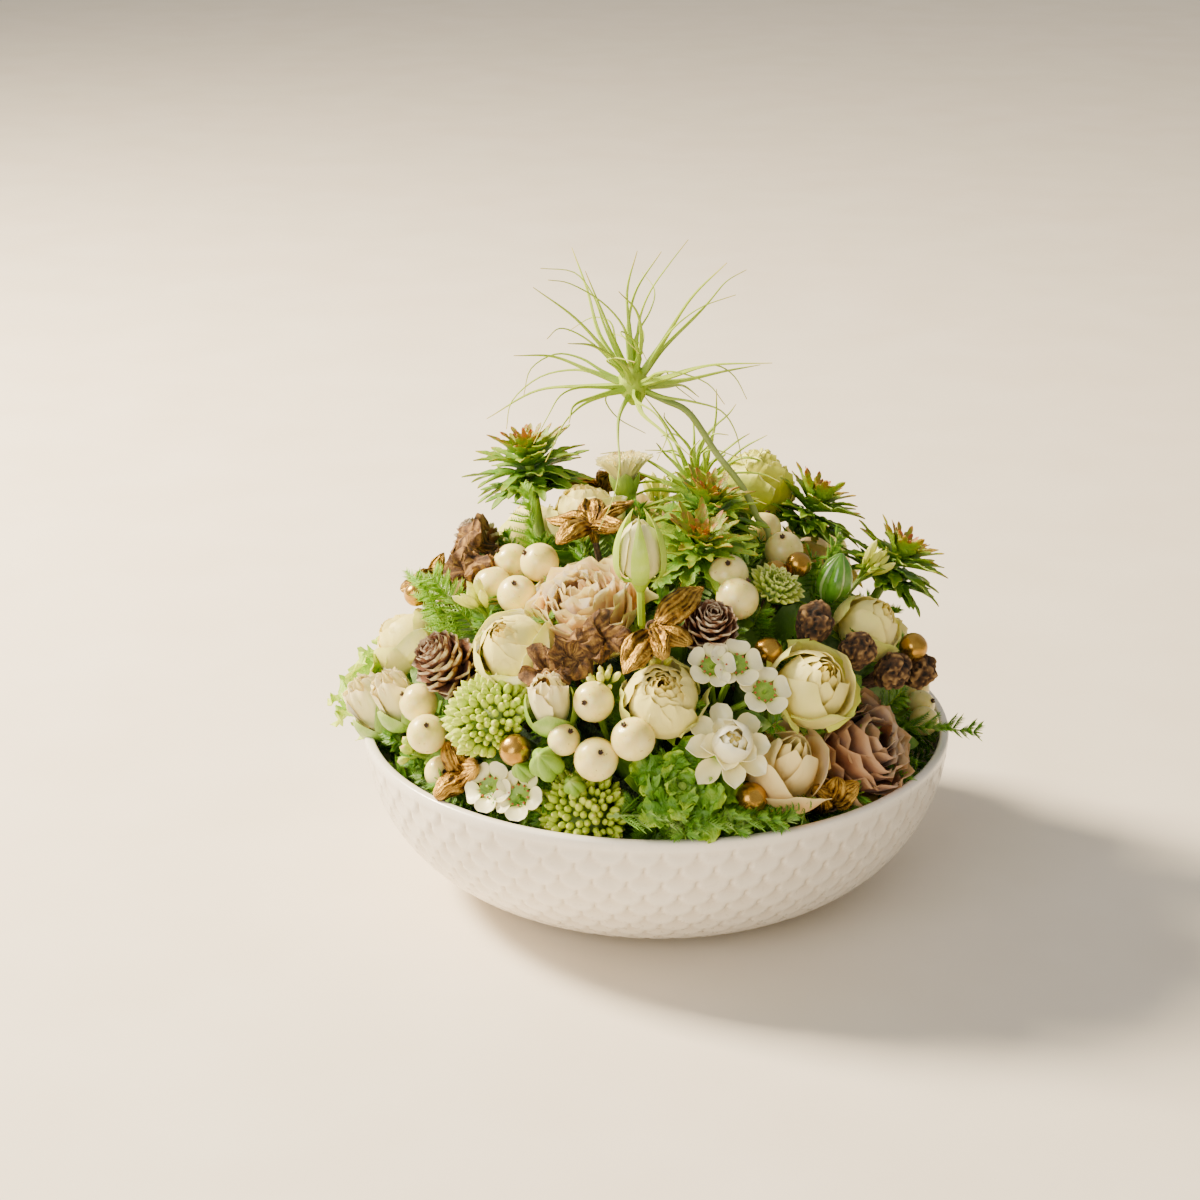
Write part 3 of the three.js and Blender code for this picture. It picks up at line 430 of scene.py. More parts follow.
def rose(width, height, mouth=0.45, petals=20, guards=4, ruffle=0.5, roll=1.2, point=2.5, drop=0.2, seed=1,
         heart=0.06, bud=1.0):
    """A rose that stands on the origin: petals wrapped from a shut heart to a mouth of that share of its
    width, in guard petals that stand away from it. A slender bud takes less of the width."""
    r = width / 2
    blown = mouth**4
    chance = random.Random(seed)
    parts = []
    for k in range(petals + guards):
        t = min(k / (petals - 1), 1)
        guard = max(k - petals + 1, 0) / max(guards, 1)
        tip = r * bud * (heart + (mouth - heart) * t ** (1.2 - 0.4 * blown))
        belly = 1.25 * r * bud * (0.26 + 0.7 * t)
        belly += (min(max(0.9 * tip, 0.3 * r), 0.97 * r) - belly) * blown
        top = height * (1 - 0.06 * t - 0.12 * mouth * t**2 - 0.32 * blown * t**1.8 - 0.22 * guard)
        top += chance.uniform(-0.03, 0.03) * height
        if guard:
            tip += (r - tip) * (0.45 + 0.5 * guard)
            belly = 1.25 * r * (bud + (0.9 - bud) * guard)
        claw, waist = (0.16 * r, 0.06 * height), (belly, (0.03 + 0.14 * blown * (1 - t)) * height)
        wrap = 1.5 - 0.6 * t * mouth - 0.35 * t * (1 - blown) - 0.1 * guard + chance.uniform(-0.06, 0.06)
        curl = roll * (0.3 * t + 0.7 * blown * t**2 + guard) * chance.uniform(0.6, 1.3)
        waves = chance.choice((2, 3, 3, 4))
        wavy = ruffle * (0.35 + 0.65 * t)
        shade = 0.8 * t + 0.2 * guard if guards else t**1.5
        curve = [claw, waist, (1.03 * belly, 0.72 * top), (tip, top)]
        shape = petal(wrap, curve, wavy, curl, drop, point, waves, chance.uniform(0, TURN), shade)
        parts.append((shape, about_z(k * GOLDEN)))
    hip = lathed([(0, 0), (0.16, 0.01), (0.34, 0.1), (0.42, 0.22), (0.2, 0.34), (0, 0.4)], r, height)
    return gathered([*parts, hip, *sepals(r, 0.75 * r)])


def petal_finish(name, heart, body, guard, edge, base="dfe0a0", gloss=0.5, edged=0.0):
    """Soft petals: one colour in the heart and another in the outer petals, a third on the guard petals, a
    tint along the edges of those past a share of the way out, and another at the base, with fine veins."""
    flesh = dict(Subsurface_Weight=0.3, Subsurface_Scale=0.002, Subsurface_Radius=(1, 0.85, 0.45))
    finish = Finish(name, Roughness=gloss, Sheen_Weight=0.1, **flesh)
    along, tone = finish.attribute("along"), finish.attribute("tone")
    mottled = tone + 0.25 * (finish.grain(6) - 0.5)
    whole = mottled.ramp((0.0, heart), (0.4, body), (0.78, body), (1.0, guard))
    at_edge = 0.75 * along.within(0.72, 1.0) * tone.within(edged - 0.01, edged + 0.1)
    at_base = 0.8 * (1 - along.within(0.0, 0.4))
    based = at_base.between(at_edge.between(whole, hexed(edge)), hexed(base))
    veins = finish.grain(1.2, 4, (1, 1, 0.2))
    finish.paint(based, gloss - 0.1 + 0.2 * finish.grain(2), veins, 0.12)
    return finish


def leaf_finish(name, base, body, tip, vein="c8d48a", gloss=0.45, depth=0.2):
    """Green tissue: darker at the base, another colour at the tips, mottled and finely veined."""
    flesh = dict(Subsurface_Weight=0.12, Subsurface_Scale=0.001, Subsurface_Radius=(0.8, 1, 0.3))
    finish = Finish(name, Roughness=gloss, **flesh)
    along, tone = finish.attribute("along"), finish.attribute("tone")
    ripe = along + 0.3 * (finish.grain(2.5) - 0.5)
    colour = ripe.ramp((0.0, base), (0.45, body), (0.8, body), (1.0, tip))
    pale = (0.3 * finish.grain(9).within(0.5, 0.75) + 0.12 * tone).between(colour, hexed(vein))
    finish.paint(pale, relief=finish.grain(0.6, 3, (1, 1, 0.3)), depth=depth)
    return finish


cream_petals = petal_finish("cream rose petals", "e0c028", "fdec84", "e8e46c", "bccc44", "c4d44c", edged=0.8)
stem_green = leaf_finish("stems and sepals", "5f8418", "7a9c1e", "96b030")
cream = [cream_petals, stem_green]
for name, fork, *heads in (
    ("cream_rose_a", None, at(rose(28, 25, 0.34, 20, 5, 0.5, 1.6, drop=0.26, seed=4), -41, 51, sink=16)),
    ("cream_rose_b", None, at(rose(26, 22, 0.42, 18, 4, seed=7), -94, 38, sink=15)),
    ("cream_rose_c", None, at(rose(28, 26, 0.5, 24, 3, 0.8, seed=12), 0, 46, sink=16)),
    ("cream_rose_d", None, at(rose(29, 26, 0.36, 18, 6, 0.4, 3.2, 1.4, 0.3, 21), 37, 45, sink=16, spin=30)),
    ("cream_rose_e", None, at(rose(27, 22, 0.6, 18, 5, 0.9, 1.5, seed=31), -124, 75, sink=15)),
    ("cream_spray_right", (90, 42, 78),
     at(rose(24, 22, 0.5, 18, seed=41), 68, 49, sink=14),
     at(rose(26, 22, 0.6, 20, seed=42), 112, 33, out=-4, sink=14)),
    ("cream_spray_back", (162, 34, 80),
     at(rose(30, 24, 0.5, 22, 5, 0.8, seed=51), 152, 34, out=-3, sink=15),
     at(rose(28, 24, 0.36, 22, 5, seed=52), 173, 30.4, out=-3.2, sink=15)),
    ("cream_spray_left", (-144, 43, 80),
     at(rose(30, 24, 0.6, 24, 5, 0.8, seed=61), -146, 33, out=-4, sink=15),
     at(rose(28, 22, 0.4, 20, seed=62), -142, 52, sink=14)),
):
    plant(name, "cream_petals", cream, *heads, fork=fork)

# ---- Dusty and peach roses, and the lime rose ----
# Full-blown old-fashioned roses, 42 mm across, with dozens of ruffled petals: two dusty pink ones and a
# mauve-brown one. The peach roses are high-centred with rolled-back outer petals; the lime one is frilled.

dusty_petals = petal_finish("dusty pink petals", "ae7c58", "e8bc7c", "f2de70", "fcee90", "d4a850")
mauve_petals = petal_finish("mauve brown petals", "42200f", "925a38", "cdb25c", "d6a676", "6c3e22")
peach_petals = petal_finish("peach petals", "dccc68", "f9de8c", "f0c070", "f8e298", "d8d470", edged=0.5)
lime_petals = petal_finish("lime petals", "bcb804", "e6e010", "9fb61c", "e6e650", "7aa022")
full_rose = rose(42, 26, 0.9, 30, 4, 2.2, 3.0, 2.0, 0.3, 3)
open_rose = rose(42, 25, 0.88, 24, 5, 2.2, 3.2, 2.0, 0.3, 9, heart=0.16)
spiral_rose = rose(32, 32, 0.46, 12, 5, 0.3, 1.2, 1.7, 0.3, 15, bud=0.72)
wide_rose = rose(34, 28, 0.5, 18, 5, 0.6, 3.4, 1.8, 0.24, 16, bud=0.8)
frilled_rose = rose(30, 27, 0.72, 26, 3, 1.5, 1.0, seed=18)
for name, slot, petals, head in (
    ("dusty_rose_a", "dusty_petals", dusty_petals, at(full_rose, -29, 63, sink=20)),
    ("dusty_rose_c", "dusty_petals", dusty_petals, at(full_rose, -174, 50, sink=18)),
    ("dusty_rose_b", "mauve_petals", mauve_petals, at(open_rose, 51, 33, out=-5, sink=18, spin=20)),
    ("peach_rose", "peach_petals", peach_petals, at(spiral_rose, 27, 34, out=-6, sink=18, face=(22, 58))),
    ("peach_rose_b", "peach_petals", peach_petals, at(wide_rose, 132, 46, sink=17)),
    ("lime_rose", "lime_petals", lime_petals, at(frilled_rose, 136, 66, out=8, sink=14)),
):
    plant(name, slot, [petals, stem_green], head)

# ---- Waxy white double bloom, waxflower and white buds ----
# Thick waxy petals: thirteen spoon petals about a half-shut cup, 30 mm across; waxflower of five round petals
# about a green cup with red-tipped stamens, 16 mm across; folded white buds in ribbed green bracts.


def leaf(length, half, start=(0, 0), lift=20, bend=-20, cup=0.2, widest=0.6, rounding=0.7, frill=0.0, waves=3,
         teeth=0, tooth=0.3, tone=0.5, material=0, thickness=0.4, detail=(4, 9), phase=0.0):
    """A leaf or petal that grows along +X from its start (radius, height), rises by lift degrees and bends
    by bend degrees on the way to its tip. Its sides stand up by cup, and its edges wave or are toothed."""
    rise, turn = math.radians(lift), math.radians(bend) or 1e-4
    skew = math.log(0.5) / math.log(widest)

    def place(across, share):
        angle = rise + turn * share
        x = start[0] + length * (math.sin(angle) - math.sin(rise)) / turn
        z = start[1] + length * (math.cos(rise) - math.cos(angle)) / turn
        width = half * max(math.sin(math.pi * min(share**skew, 1)) ** rounding, 0.14 * (1 - share))
        if teeth:
            width *= 1 - tooth * (1 - (share * teeth) % 1) * min(4 * share, 1)
        swing = waves * TURN * share
        wavy = math.sin(swing + phase + 1.4 * across) + 0.4 * math.sin(2.7 * swing)
        up = cup * width * across**2 + frill * wavy * abs(across) ** 1.5 * min(share * 2, width / half)
        return x - up * math.sin(angle), across * width, z + up * math.cos(angle)

    return surface(*detail, place, tone, material, thickness)


def waxy_bloom(width, height):
    r = width / 2
    chance = random.Random(8)
    parts = []
    spoon = dict(cup=0.7, widest=0.64, rounding=0.55, frill=0.6, waves=1.3, tone=0.8, thickness=0.7)
    for k in range(13):
        inner = k > 7
        reach = (0.6 if inner else 0.9) * r * chance.uniform(0.94, 1.06)
        start = (0.17 * r, 0.42 * height) if inner else (0.2 * r, 0.3 * height)
        lift = chance.uniform(48, 66) if inner else chance.uniform(8, 42)
        blade = leaf(reach, 0.27 * r, start, lift, -0.8 * lift, phase=k, detail=(6, 9), **spoon)
        bearing = TURN * (k / 5 + 0.1 if inner else k / 8)
        parts.append((blade, about_z(bearing + chance.uniform(-0.1, 0.1))))
    for k in range(9):
        t = k / 8
        top, round_cup = height * (1.12 + 0.1 * t), 0.62 * r * (0.25 + 0.75 * t)
        curve = [(0.1 * r, 0.4 * height), (round_cup, 0.45 * height), (round_cup, top), (0.2 * r * t, top)]
        parts.append((petal(1.4, curve, 0.4, 0.2, 0.24, 1.6, tone=0.6 * t), about_z(k * GOLDEN)))
    parts.append(lathed([(0, 0), (0.2, 0.05), (0.3, 0.3), (0.4, 0.5), (0, 0.5)], r, height))
    core = [(0, 0.4), (0.3, 0.5), (0.3, 0.9), (0.16, 1.05), (0, 1.1)]
    return gathered([*parts, lathed(core, r, height, material=0)])


def waxflower(width):
    r = width / 2
    disc = dict(widest=0.54, rounding=0.42, frill=0.12, waves=1.4, tone=0.7, thickness=0.5, detail=(8, 9))
    round_petal = leaf(0.66 * r, 0.49 * r, (0.42 * r, 0.76 * r), 24, -34, 0.35, **disc)
    cup = lathed([(0, 0), (0.2, 0.02), (0.32, 0.3), (0.5, 0.8), (0.36, 0.74), (0, 0.66)], r, r, 15, 5, 0.1)
    stamen = lathed([(0, -0.4), (0.42, -0.1), (0.42, 0.3), (0, 0.7)], sides=6, material=2)
    seat = Matrix.Translation((0.42 * r, 0, 0.84 * r))
    stamens = [(shape, turn @ seat) for shape, turn in ring(10, stamen)]
    style = lathed([(0, 0.6), (0.08, 0.7), (0.05, 1.0), (0, 1.02)], r, r, 6)
    return gathered([*ring(5, round_petal), cup, *stamens, style])


def clasp(half_wrap, curve, detail=(6, 12)):
    """A pointed sepal or bract that wraps the Z axis and follows a curve from base to tip."""

    def place(across, share):
        radius, height = on_curve(curve, share)
        keeled = radius + 0.5 * (1 - abs(across)) * math.sin(math.pi * share)
        angle = half_wrap * across * math.sin(math.pi * (0.14 + 0.86 * share)) ** 0.8
        return keeled * math.cos(angle), keeled * math.sin(angle), height

    return surface(*detail, place, 0.5, 1, 0.6)


def bracted_bud(width, length, seed):
    r = width / 2
    chance = random.Random(seed)
    parts = []
    for k in range(8):
        t = k / 7
        belly, shoulder = ((0.9 + 0.2 * t) * r, 0.1 * length), ((1.0 + 0.3 * t) * r, 0.8 * length)
        curve = [(0.22 * r, 0), belly, shoulder, ((0.16 + 0.5 * t) * r, (1 - 0.14 * t) * length)]
        fold = dict(phase=chance.uniform(0, TURN), tone=t, detail=(14, 9))
        parts.append((petal(1.05, curve, 0.9, 0.9 * t, 0.26, 1.7, **fold), about_z(k * GOLDEN)))
    for bearing, reach in ((30, 1.0), (115, 0.74), (200, 0.94), (290, 0.7)):
        curve = [(0.3 * r, -0.8), (1.42 * r, 0), (1.46 * r, 0.34 * length), (1.16 * r, 0.7 * reach * length)]
        parts.append((clasp(0.95, curve), about_z(math.radians(bearing))))
    return gathered(parts)


def ribbed_bud(width, height, material=1):
    r = width / 2
    lower, upper = [(0, 0), (0.3, 0.01), (0.62, 0.1), (0.9, 0.26), (1, 0.42)], [(0.92, 0.58), (0.7, 0.76)]
    body = lathed([*lower, *upper, (0.4, 0.9), (0.14, 0.98), (0, 1)], r, height, 40, 5, 0.24, material)
    return gathered([body, *sepals(0.8 * r, 0.8 * r, 66)])


white_petals = petal_finish("waxy white petals", "f0d86c", "fcf2b8", "fdf6c8", "fffad4", "c8d054", 0.36)
bud_petals = petal_finish("blushed bud petals", "f6e080", "fbf0a0", "fdf4a8", "fae2a0", "c8d454", 0.4)
bud_green = leaf_finish("bud bracts", "5c8420", "7da52e", "a9c24a", gloss=0.4)
stamen_red = Finish("red stamens", Roughness=0.5)
stamen_red.paint(stamen_red.grain(0.5).ramp((0.3, "9c3a22"), (0.7, "c9743c")))
waxen, budding = [white_petals, bud_green, stamen_red], [bud_petals, bud_green]
floret, small_floret = waxflower(17.5), waxflower(16)
plant("tuberose_bloom", "white_petals", waxen, at(waxy_bloom(30, 16), 13.3, 37.5, out=2.4))
for name, finishes, fork, *heads in (
    ("waxflower_a", waxen, (17, 48, 92),
     at(floret, 18, 50, sink=6), at(floret, 23, 45, sink=6), at(small_floret, 11.8, 50, out=0.8, sink=6)),
    ("waxflower_b", waxen, (-33, 28, 86),
     at(floret, -36, 28, out=-3, sink=7), at(floret, -29, 28, out=-3, sink=7)),
    ("waxflower_c", waxen, (132, 30, 86),
     at(floret, 132, 28.4, out=-2.2, sink=7), at(floret, 140, 31, out=-1, sink=7),
     at(floret, 124, 31, out=-1, sink=7)),
    ("white_buds_a", budding, (-77, 30, 88),
     at(bracted_bud(16, 26, 1), -83, 27.2, out=1.1, sink=10, face=(-80, 60)),
     at(bracted_bud(14, 24, 2), -70, 34, sink=12, face=(-70, 65))),
    ("white_buds_b", budding, (-23, 40, 86),
     at(bracted_bud(13.5, 23, 3), -24.4, 43.5, out=1.5, sink=12, face=(-23, 72)),
     at(ribbed_bud(13, 16), -23, 34, sink=8), at(ribbed_bud(8.5, 12), -28.5, 32.5, sink=9),
     at(ribbed_bud(8, 11), -17.5, 31.5, sink=9)),
):
    plant(name, "white_petals", finishes, *heads, fork=fork)

# ---- Small bud tufts ----
# Tufts of slender cream-green buds and of round pink-tinged ones, 5 to 11 mm long, on thin stalks that join
# into one green stem.


def bud_tuft(length, width, count, opening, seed):
    """Buds that stand on the origin, up to that many degrees off its upright."""
    chance = random.Random(seed)
    bud = lathed([(0, 0), (0.5, 0.1), (1, 0.5), (0.8, 0.8), (0, 1)], width / 2, length, 10, 5, 0.15, 0)
    parts = []
    for k in range(count):
        lean = math.radians(opening) * math.sqrt(k / count)
        way = about_z(k * GOLDEN) @ Matrix.Rotation(lean, 4, "Y")
        stalk = chance.uniform(0.4, 0.9) * length
        parts.append((tube([(0, 0, -1), (0, 0, stalk + 0.5)], [0.45, 0.6], 6), way))
        seat = Matrix.Translation((0, 0, stalk)) @ Matrix.Scale(chance.uniform(0.8, 1.15), 4)
        parts.append((bud, way @ seat))
    return gathered(parts)


cream_buds = leaf_finish("cream green buds", "9cb81c", "dce05c", "f8ecac", "f2f0b4")
pink_buds = leaf_finish("pink tinged buds", "94b020", "a8c030", "c48460", "d8dc74")
tall_tuft, low_tuft = bud_tuft(10, 3.2, 9, 26, 1), bud_tuft(7, 2.6, 12, 40, 2)
round_tuft = bud_tuft(6, 4, 5, 60, 3)
plant("cream_bud_tufts", "white_petals", [cream_buds, stem_green], at(tall_tuft, -61, 55, sink=8),
      at(low_tuft, -14, 48, out=-1, sink=8), at(low_tuft, -2, 51, out=-2, sink=8),
      at(tall_tuft, 96, 52, out=2, sink=8), at(low_tuft, -150, 44, sink=8),
      at(tall_tuft, 178, 58, out=1, sink=8), added=True)
plant("pink_bud_tufts", "white_petals", [pink_buds, stem_green],
      at(round_tuft, -60, 28, out=2, sink=8), at(round_tuft, -48, 50, out=1, sink=8),
      at(round_tuft, 140, 40, sink=8), at(round_tuft, -128, 42, sink=8), added=True)

# ---- Carnation, button chrysanthemum, rose bud and striped bud ----
# A cream carnation with a fringed edge in a green calyx, a lime button chrysanthemum of incurved straps, a
# rose bud held in five long sepals, and a glossy green bud with pale stripes.


def fringed_bloom(width, height):
    r = width / 2
    chance = random.Random(5)
    calyx = [(0, 0), (0.28, 0.02), (0.4, 0.3), (0.44, 0.48), (0, 0.5)]
    points = [(0.3, 0.3), (0.5, 0.45), (0.52, 0.6), (0.62, 0.72)]
    parts = [lathed(calyx, r, height, 15, 5, 0.1)]
    parts += ring(5, clasp(0.7, [(a * r, b * height) for a, b in points], (4, 7)))
    for k in range(24):
        t = k / 23
        claw, waist = (0.1 * r, 0.4 * height), (0.3 * r, 0.6 * height)
        edge = ((0.25 + 0.75 * t) * r, (1.08 - 0.08 * t) * height)
        curve = [claw, waist, ((0.2 + 0.5 * t) * r, 0.8 * height), edge]
        fringe = dict(waves=9, phase=chance.uniform(0, TURN), tone=t, detail=(18, 6))
        parts.append((petal(0.8, curve, 1.1, 0.8 * t, 0.18, **fringe), about_z(k * GOLDEN)))
    return gathered(parts)


def button_bloom(width, height):
    """Rings of straps, each given by count, length, start and height as shares, and lift."""
    r = width / 2
    chance = random.Random(6)
    rings = ((19, 0.64, 0.36, 0.3, 8), (18, 0.56, 0.32, 0.36, 26), (15, 0.44, 0.26, 0.46, 42))
    rings += ((12, 0.34, 0.18, 0.5, 58), (8, 0.24, 0.08, 0.52, 74))
    parts = [lathed([(0, 0), (0.3, 0.02), (0.5, 0.3), (0.3, 0.62), (0, 0.66)], r, height)]
    for k, (count, length, start, level, lift) in enumerate(rings):
        for i in range(count):
            reach, tilt = length * r * chance.uniform(0.88, 1.08), lift + chance.uniform(-6, 6)
            incurved = dict(cup=1.3, widest=0.66, rounding=0.4, tone=1 - 0.24 * k, detail=(4, 7))
            strap = leaf(reach, 0.1 * r, (start * r, level * height), tilt, 44, **incurved)
            bearing = TURN * (i + 0.5 * (k % 2)) / count + chance.uniform(-0.05, 0.05)
            parts.append((strap, about_z(bearing)))
    return gathered(parts)


def sepal_bud(width, height, neck):
    r = width / 2
    hip = [(0, neck - 5), (0.17, neck - 4.8), (0.3, neck - 2.4), (0.46, neck), (0.5, neck + 3), (0, neck + 4)]
    parts = [tube([(0, 0, -1), (0, 0, neck + 2)], [1.4, 1.4]), lathed(hip, r)]
    for k in range(7):
        t = k / 6
        curve = [(0.3 * r, neck + 1), ((1.0 + 0.1 * t) * r, neck + 0.06 * height)]
        curve += [((0.9 + 0.1 * t) * r, neck + 0.7 * height)]
        curve += [((0.1 + 0.2 * t) * r, neck + (0.96 - 0.06 * t) * height)]
        parts.append((petal(1.3 - 0.3 * t, curve, 0.3, 0, 0.2, tone=t), about_z(k * GOLDEN)))
    curve = [(0.4 * r, neck), (1.3 * r, neck + 0.02 * height), (1.16 * r, neck + 0.7 * height)]
    return gathered([*parts, *ring(5, clasp(0.36, [*curve, (0.34 * r, neck + 1.1 * height)], (6, 14)))])


cream_fringe = petal_finish("carnation petals", "e0c85c", "f9ea90", "f7e888", "fdf3a8", "b8c850")
button_petals = petal_finish("button petals", "5a7412", "94ae28", "b8c83c", "dde478", "4c6c12")
pale_bud = petal_finish("pale bud petals", "eee47c", "f8ee98", "f0ea88", "fcf6b0", "b8c83c")
sepal_green = leaf_finish("bud sepals", "82a40c", "a0c01c", "ccd848")
striped_green = Finish("striped bud", Roughness=0.22, Coat_Weight=0.3)
stripes = (striped_green.attribute("around") * (5 * math.pi)).math("SINE").within(0.86, 1.0)
bud_skin = striped_green.grain(4).ramp((0.3, "3f7414"), (0.7, "63982a"))
striped_green.paint((stripes * 0.6).between(bud_skin, hexed("b9cf86")))
for name, slot, finishes, head in (
    ("carnation", "cream_petals", [cream_fringe, stem_green],
     at(fringed_bloom(20, 22), -159, 75.9, out=5.5, sink=14)),
    ("mum", "lime_petals", [button_petals, stem_green], at(button_bloom(23, 12), 42.6, 62, out=0.8, sink=6)),
    ("sepal_bud", "lime_petals", [pale_bud, sepal_green],
     at(sepal_bud(18, 23, 17), -6, 61, out=9, sink=12, face=(-18, 84))),
    ("striped_bud", "bracts", [striped_green, striped_green],
     at(ribbed_bud(14, 20, 0), 67, 58, sink=8, face=(60, 75))),
):
    plant(name, slot, finishes, head)

# ---- Snowberries ----
# Waxy cream-white berries, 11 to 15 mm across, each with the dark remains of its blossom at the outer end,
# on short green stalks that join into a spray.


def sphere_profile(radius, dimple=0.0, steps=12):
    points = []
    for i in range(steps + 1):
        lean = math.pi * i / steps
        sunk = dimple * max(1 - (steps - i) / 2, 0)
        round_out = radius * math.sin(lean) * (1.02 if 0 < i < steps else 1)
        points.append((round_out, radius * (1 - math.cos(lean)) - sunk))
    return points


def berry(radius, seed):
    chance = random.Random(seed)
    top, middle = 2 * radius, Vector((0, 0, radius))
    skin = lathed(sphere_profile(radius, 0.5), sides=22, material=0)
    tips = ring(5, leaf(1.3, 0.45, (0.2, top - 0.35), 30, 40, material=2, thickness=0.25, detail=(2, 3)))
    eye = lathed([(0, top - 0.7), (0.75, top - 0.6), (0.85, top - 0.2), (0, top - 0.1)], sides=8, material=2)
    lean = math.radians(chance.uniform(15, 60))
    tilt = Matrix.Rotation(lean, 4, (chance.uniform(-1, 1), chance.uniform(-1, 1), 0))
    tilted = Matrix.Translation(middle) @ tilt @ Matrix.Translation(-middle)
    joint = lathed([(0, -1), (0.9, -0.6), (1.1, 0.3), (0, 0.6)], sides=8)
    return gathered([(skin, tilted), *[(tip, tilted @ turn) for tip, turn in tips], (eye, tilted), joint])


waxy = dict(Roughness=0.32, Coat_Weight=0.2, Subsurface_Weight=0.35, Subsurface_Scale=0.003)
berry_skin = Finish("snowberry skin", **waxy)
ripeness = berry_skin.grain(7).ramp((0.3, "d6ca68"), (0.5, "f0e08c"), (0.75, "faeca6"))
specks = (berry_skin.grain(1.3, 2).within(0.68, 0.73) * 0.6).between(ripeness, hexed("a87a3c"))
browned = (berry_skin.attribute("along").within(0.9, 1.0) * 0.75).between(specks, hexed("b98f4c"))
berry_skin.paint(browned, relief=berry_skin.grain(1.5), depth=0.05)
blossom_end = Finish("blossom remains", Roughness=0.9)
blossom_end.paint(blossom_end.grain(0.4).ramp((0.3, "2e2118"), (0.7, "5a4430")))

for name, fork, *berries in (
    ("snowberry_a", (-64, 62, 92), at(7, -77, 64), at(7, -60, 67, out=2), at(7, -68, 59, out=1),
     at(7, -54, 60, out=1)),
    ("snowberry_b", (-13, 40, 84), at(7, -15, 44.5, sink=8), at(7.5, -5.8, 39, out=0.8, sink=8),
     at(7.5, -13, 35.6, sink=8), at(5.5, -20, 38, sink=6)),
    ("snowberry_c", (50, 72, 80), at(7, 76, 67.8, out=1.1), at(6, 100, 71, out=2),
     at(7.5, 27, 62.2, out=1.1, sink=10), at(7, 28.8, 67, out=0.8, sink=8)),
    ("snowberry_e", (-52, 32, 84), at(7, -53.9, 32.5, out=2.6, sink=10), at(7, -62, 36, sink=10),
     at(6, -53, 27, out=-4, sink=10)),
    ("snowberry_f", (88, 27, 88), at(5.5, 88, 28, out=1), at(5.5, 82.9, 26.5, out=2.1),
     at(7, 96, 29, sink=14)),
    ("snowberry_g", (-164, 33, 86), at(7.5, -168, 33, sink=8), at(7, -160, 37, sink=8),
     at(7, -163, 28, sink=10)),
):
    spray = [(berry(radius, i + ord(name[-1])), spot) for i, (radius, spot) in enumerate(berries)]
    plant(name, "berries", [berry_skin, stem_green, blossom_end], *spray, fork=fork)

# ---- Sedum ----
# Low heads of 160 to 190 pointed lime buds, 30 to 34 mm across, that stand out of a domed core. Fresh plant
# tissue, paler and warmer at the tips, on one green stem in the foam.


def sedum_head(width, height, buds):
    r = width / 2
    chance = random.Random(buds)
    bud = lathed([(0, 0), (0.9, 1.2), (1.55, 3.4), (1.35, 5.0), (0.5, 6.3), (0, 6.8)], sides=8, material=0)
    parts = [lathed([(0, 0), (0.25, 0.05), (0.6, 0.26), (0.5, 0.5), (0, 0.58)], r, height)]
    for i in range(buds):
        lean = math.acos(1 - 1.14 * (i + 0.5) / buds) + chance.uniform(-0.06, 0.06)
        bearing = i * GOLDEN + chance.uniform(-0.12, 0.12)
        way = Vector((math.sin(lean) * math.cos(bearing), math.sin(lean) * math.sin(bearing), math.cos(lean)))
        seat = Vector((0.74 * r * way.x, 0.74 * r * way.y, height * (0.3 + 0.42 * way.z)))
        lean_out = Vector((chance.uniform(-0.2, 0.2), chance.uniform(-0.2, 0.2), 0.55))
        turn = (way + lean_out).normalized().to_track_quat("Z", "Y").to_matrix().to_4x4()
        parts.append((bud, Matrix.Translation(seat) @ turn @ Matrix.Scale(chance.uniform(0.72, 1.1), 4)))
    return gathered(parts)


sedum_buds = leaf_finish("sedum buds", "7a9c0c", "bcd034", "f8dc98", "eeec7c", 0.5)
for name, head in (
    ("sedum_a", at(sedum_head(30, 20, 160), -40.2, 39.5, out=0.4, sink=13)),
    ("sedum_b", at(sedum_head(31, 19, 161), -17, 27, out=-11, sink=10)),
    ("sedum_c", at(sedum_head(34, 20, 190), -122, 31.4, out=-5.2, sink=12)),
):
    plant(name, "sedum", [sedum_buds, stem_green], head)

# ---- Larch cones ----
# Woody cones, 21 to 25 mm across: rounded scales in a spiral round a core, brown with a grey-white edge. Each
# is fixed to a twig that stands in the foam.


def larch_cone(width, height):
    r = width / 2
    count = round(2.7 * height)
    chance = random.Random(count)
    core = [(0, 0), (0.3, 0.06), (0.42, 0.4), (0.26, 0.8), (0, 0.88)]
    parts = [lathed(core, r, height, material=0)]
    woody = dict(cup=0.45, widest=0.7, rounding=0.4, frill=0.5, waves=1.5, thickness=0.9, detail=(6, 6))
    for i in range(count):
        share = (i + 0.5) / count
        swell = math.sin(math.pi * (0.24 + 0.66 * share))
        reach = 0.85 * r * swell + 0.12 * r * share
        start = (0.22 * r * swell, 0.04 * height + 0.76 * share * height)
        half, bend = 0.34 * r * (0.4 + 0.6 * swell), chance.uniform(0, 26)
        scale = leaf(reach, half, start, 4 + 74 * share, bend, tone=share, phase=i, **woody)
        parts.append((scale, about_z(i * GOLDEN)))
    return gathered(parts)


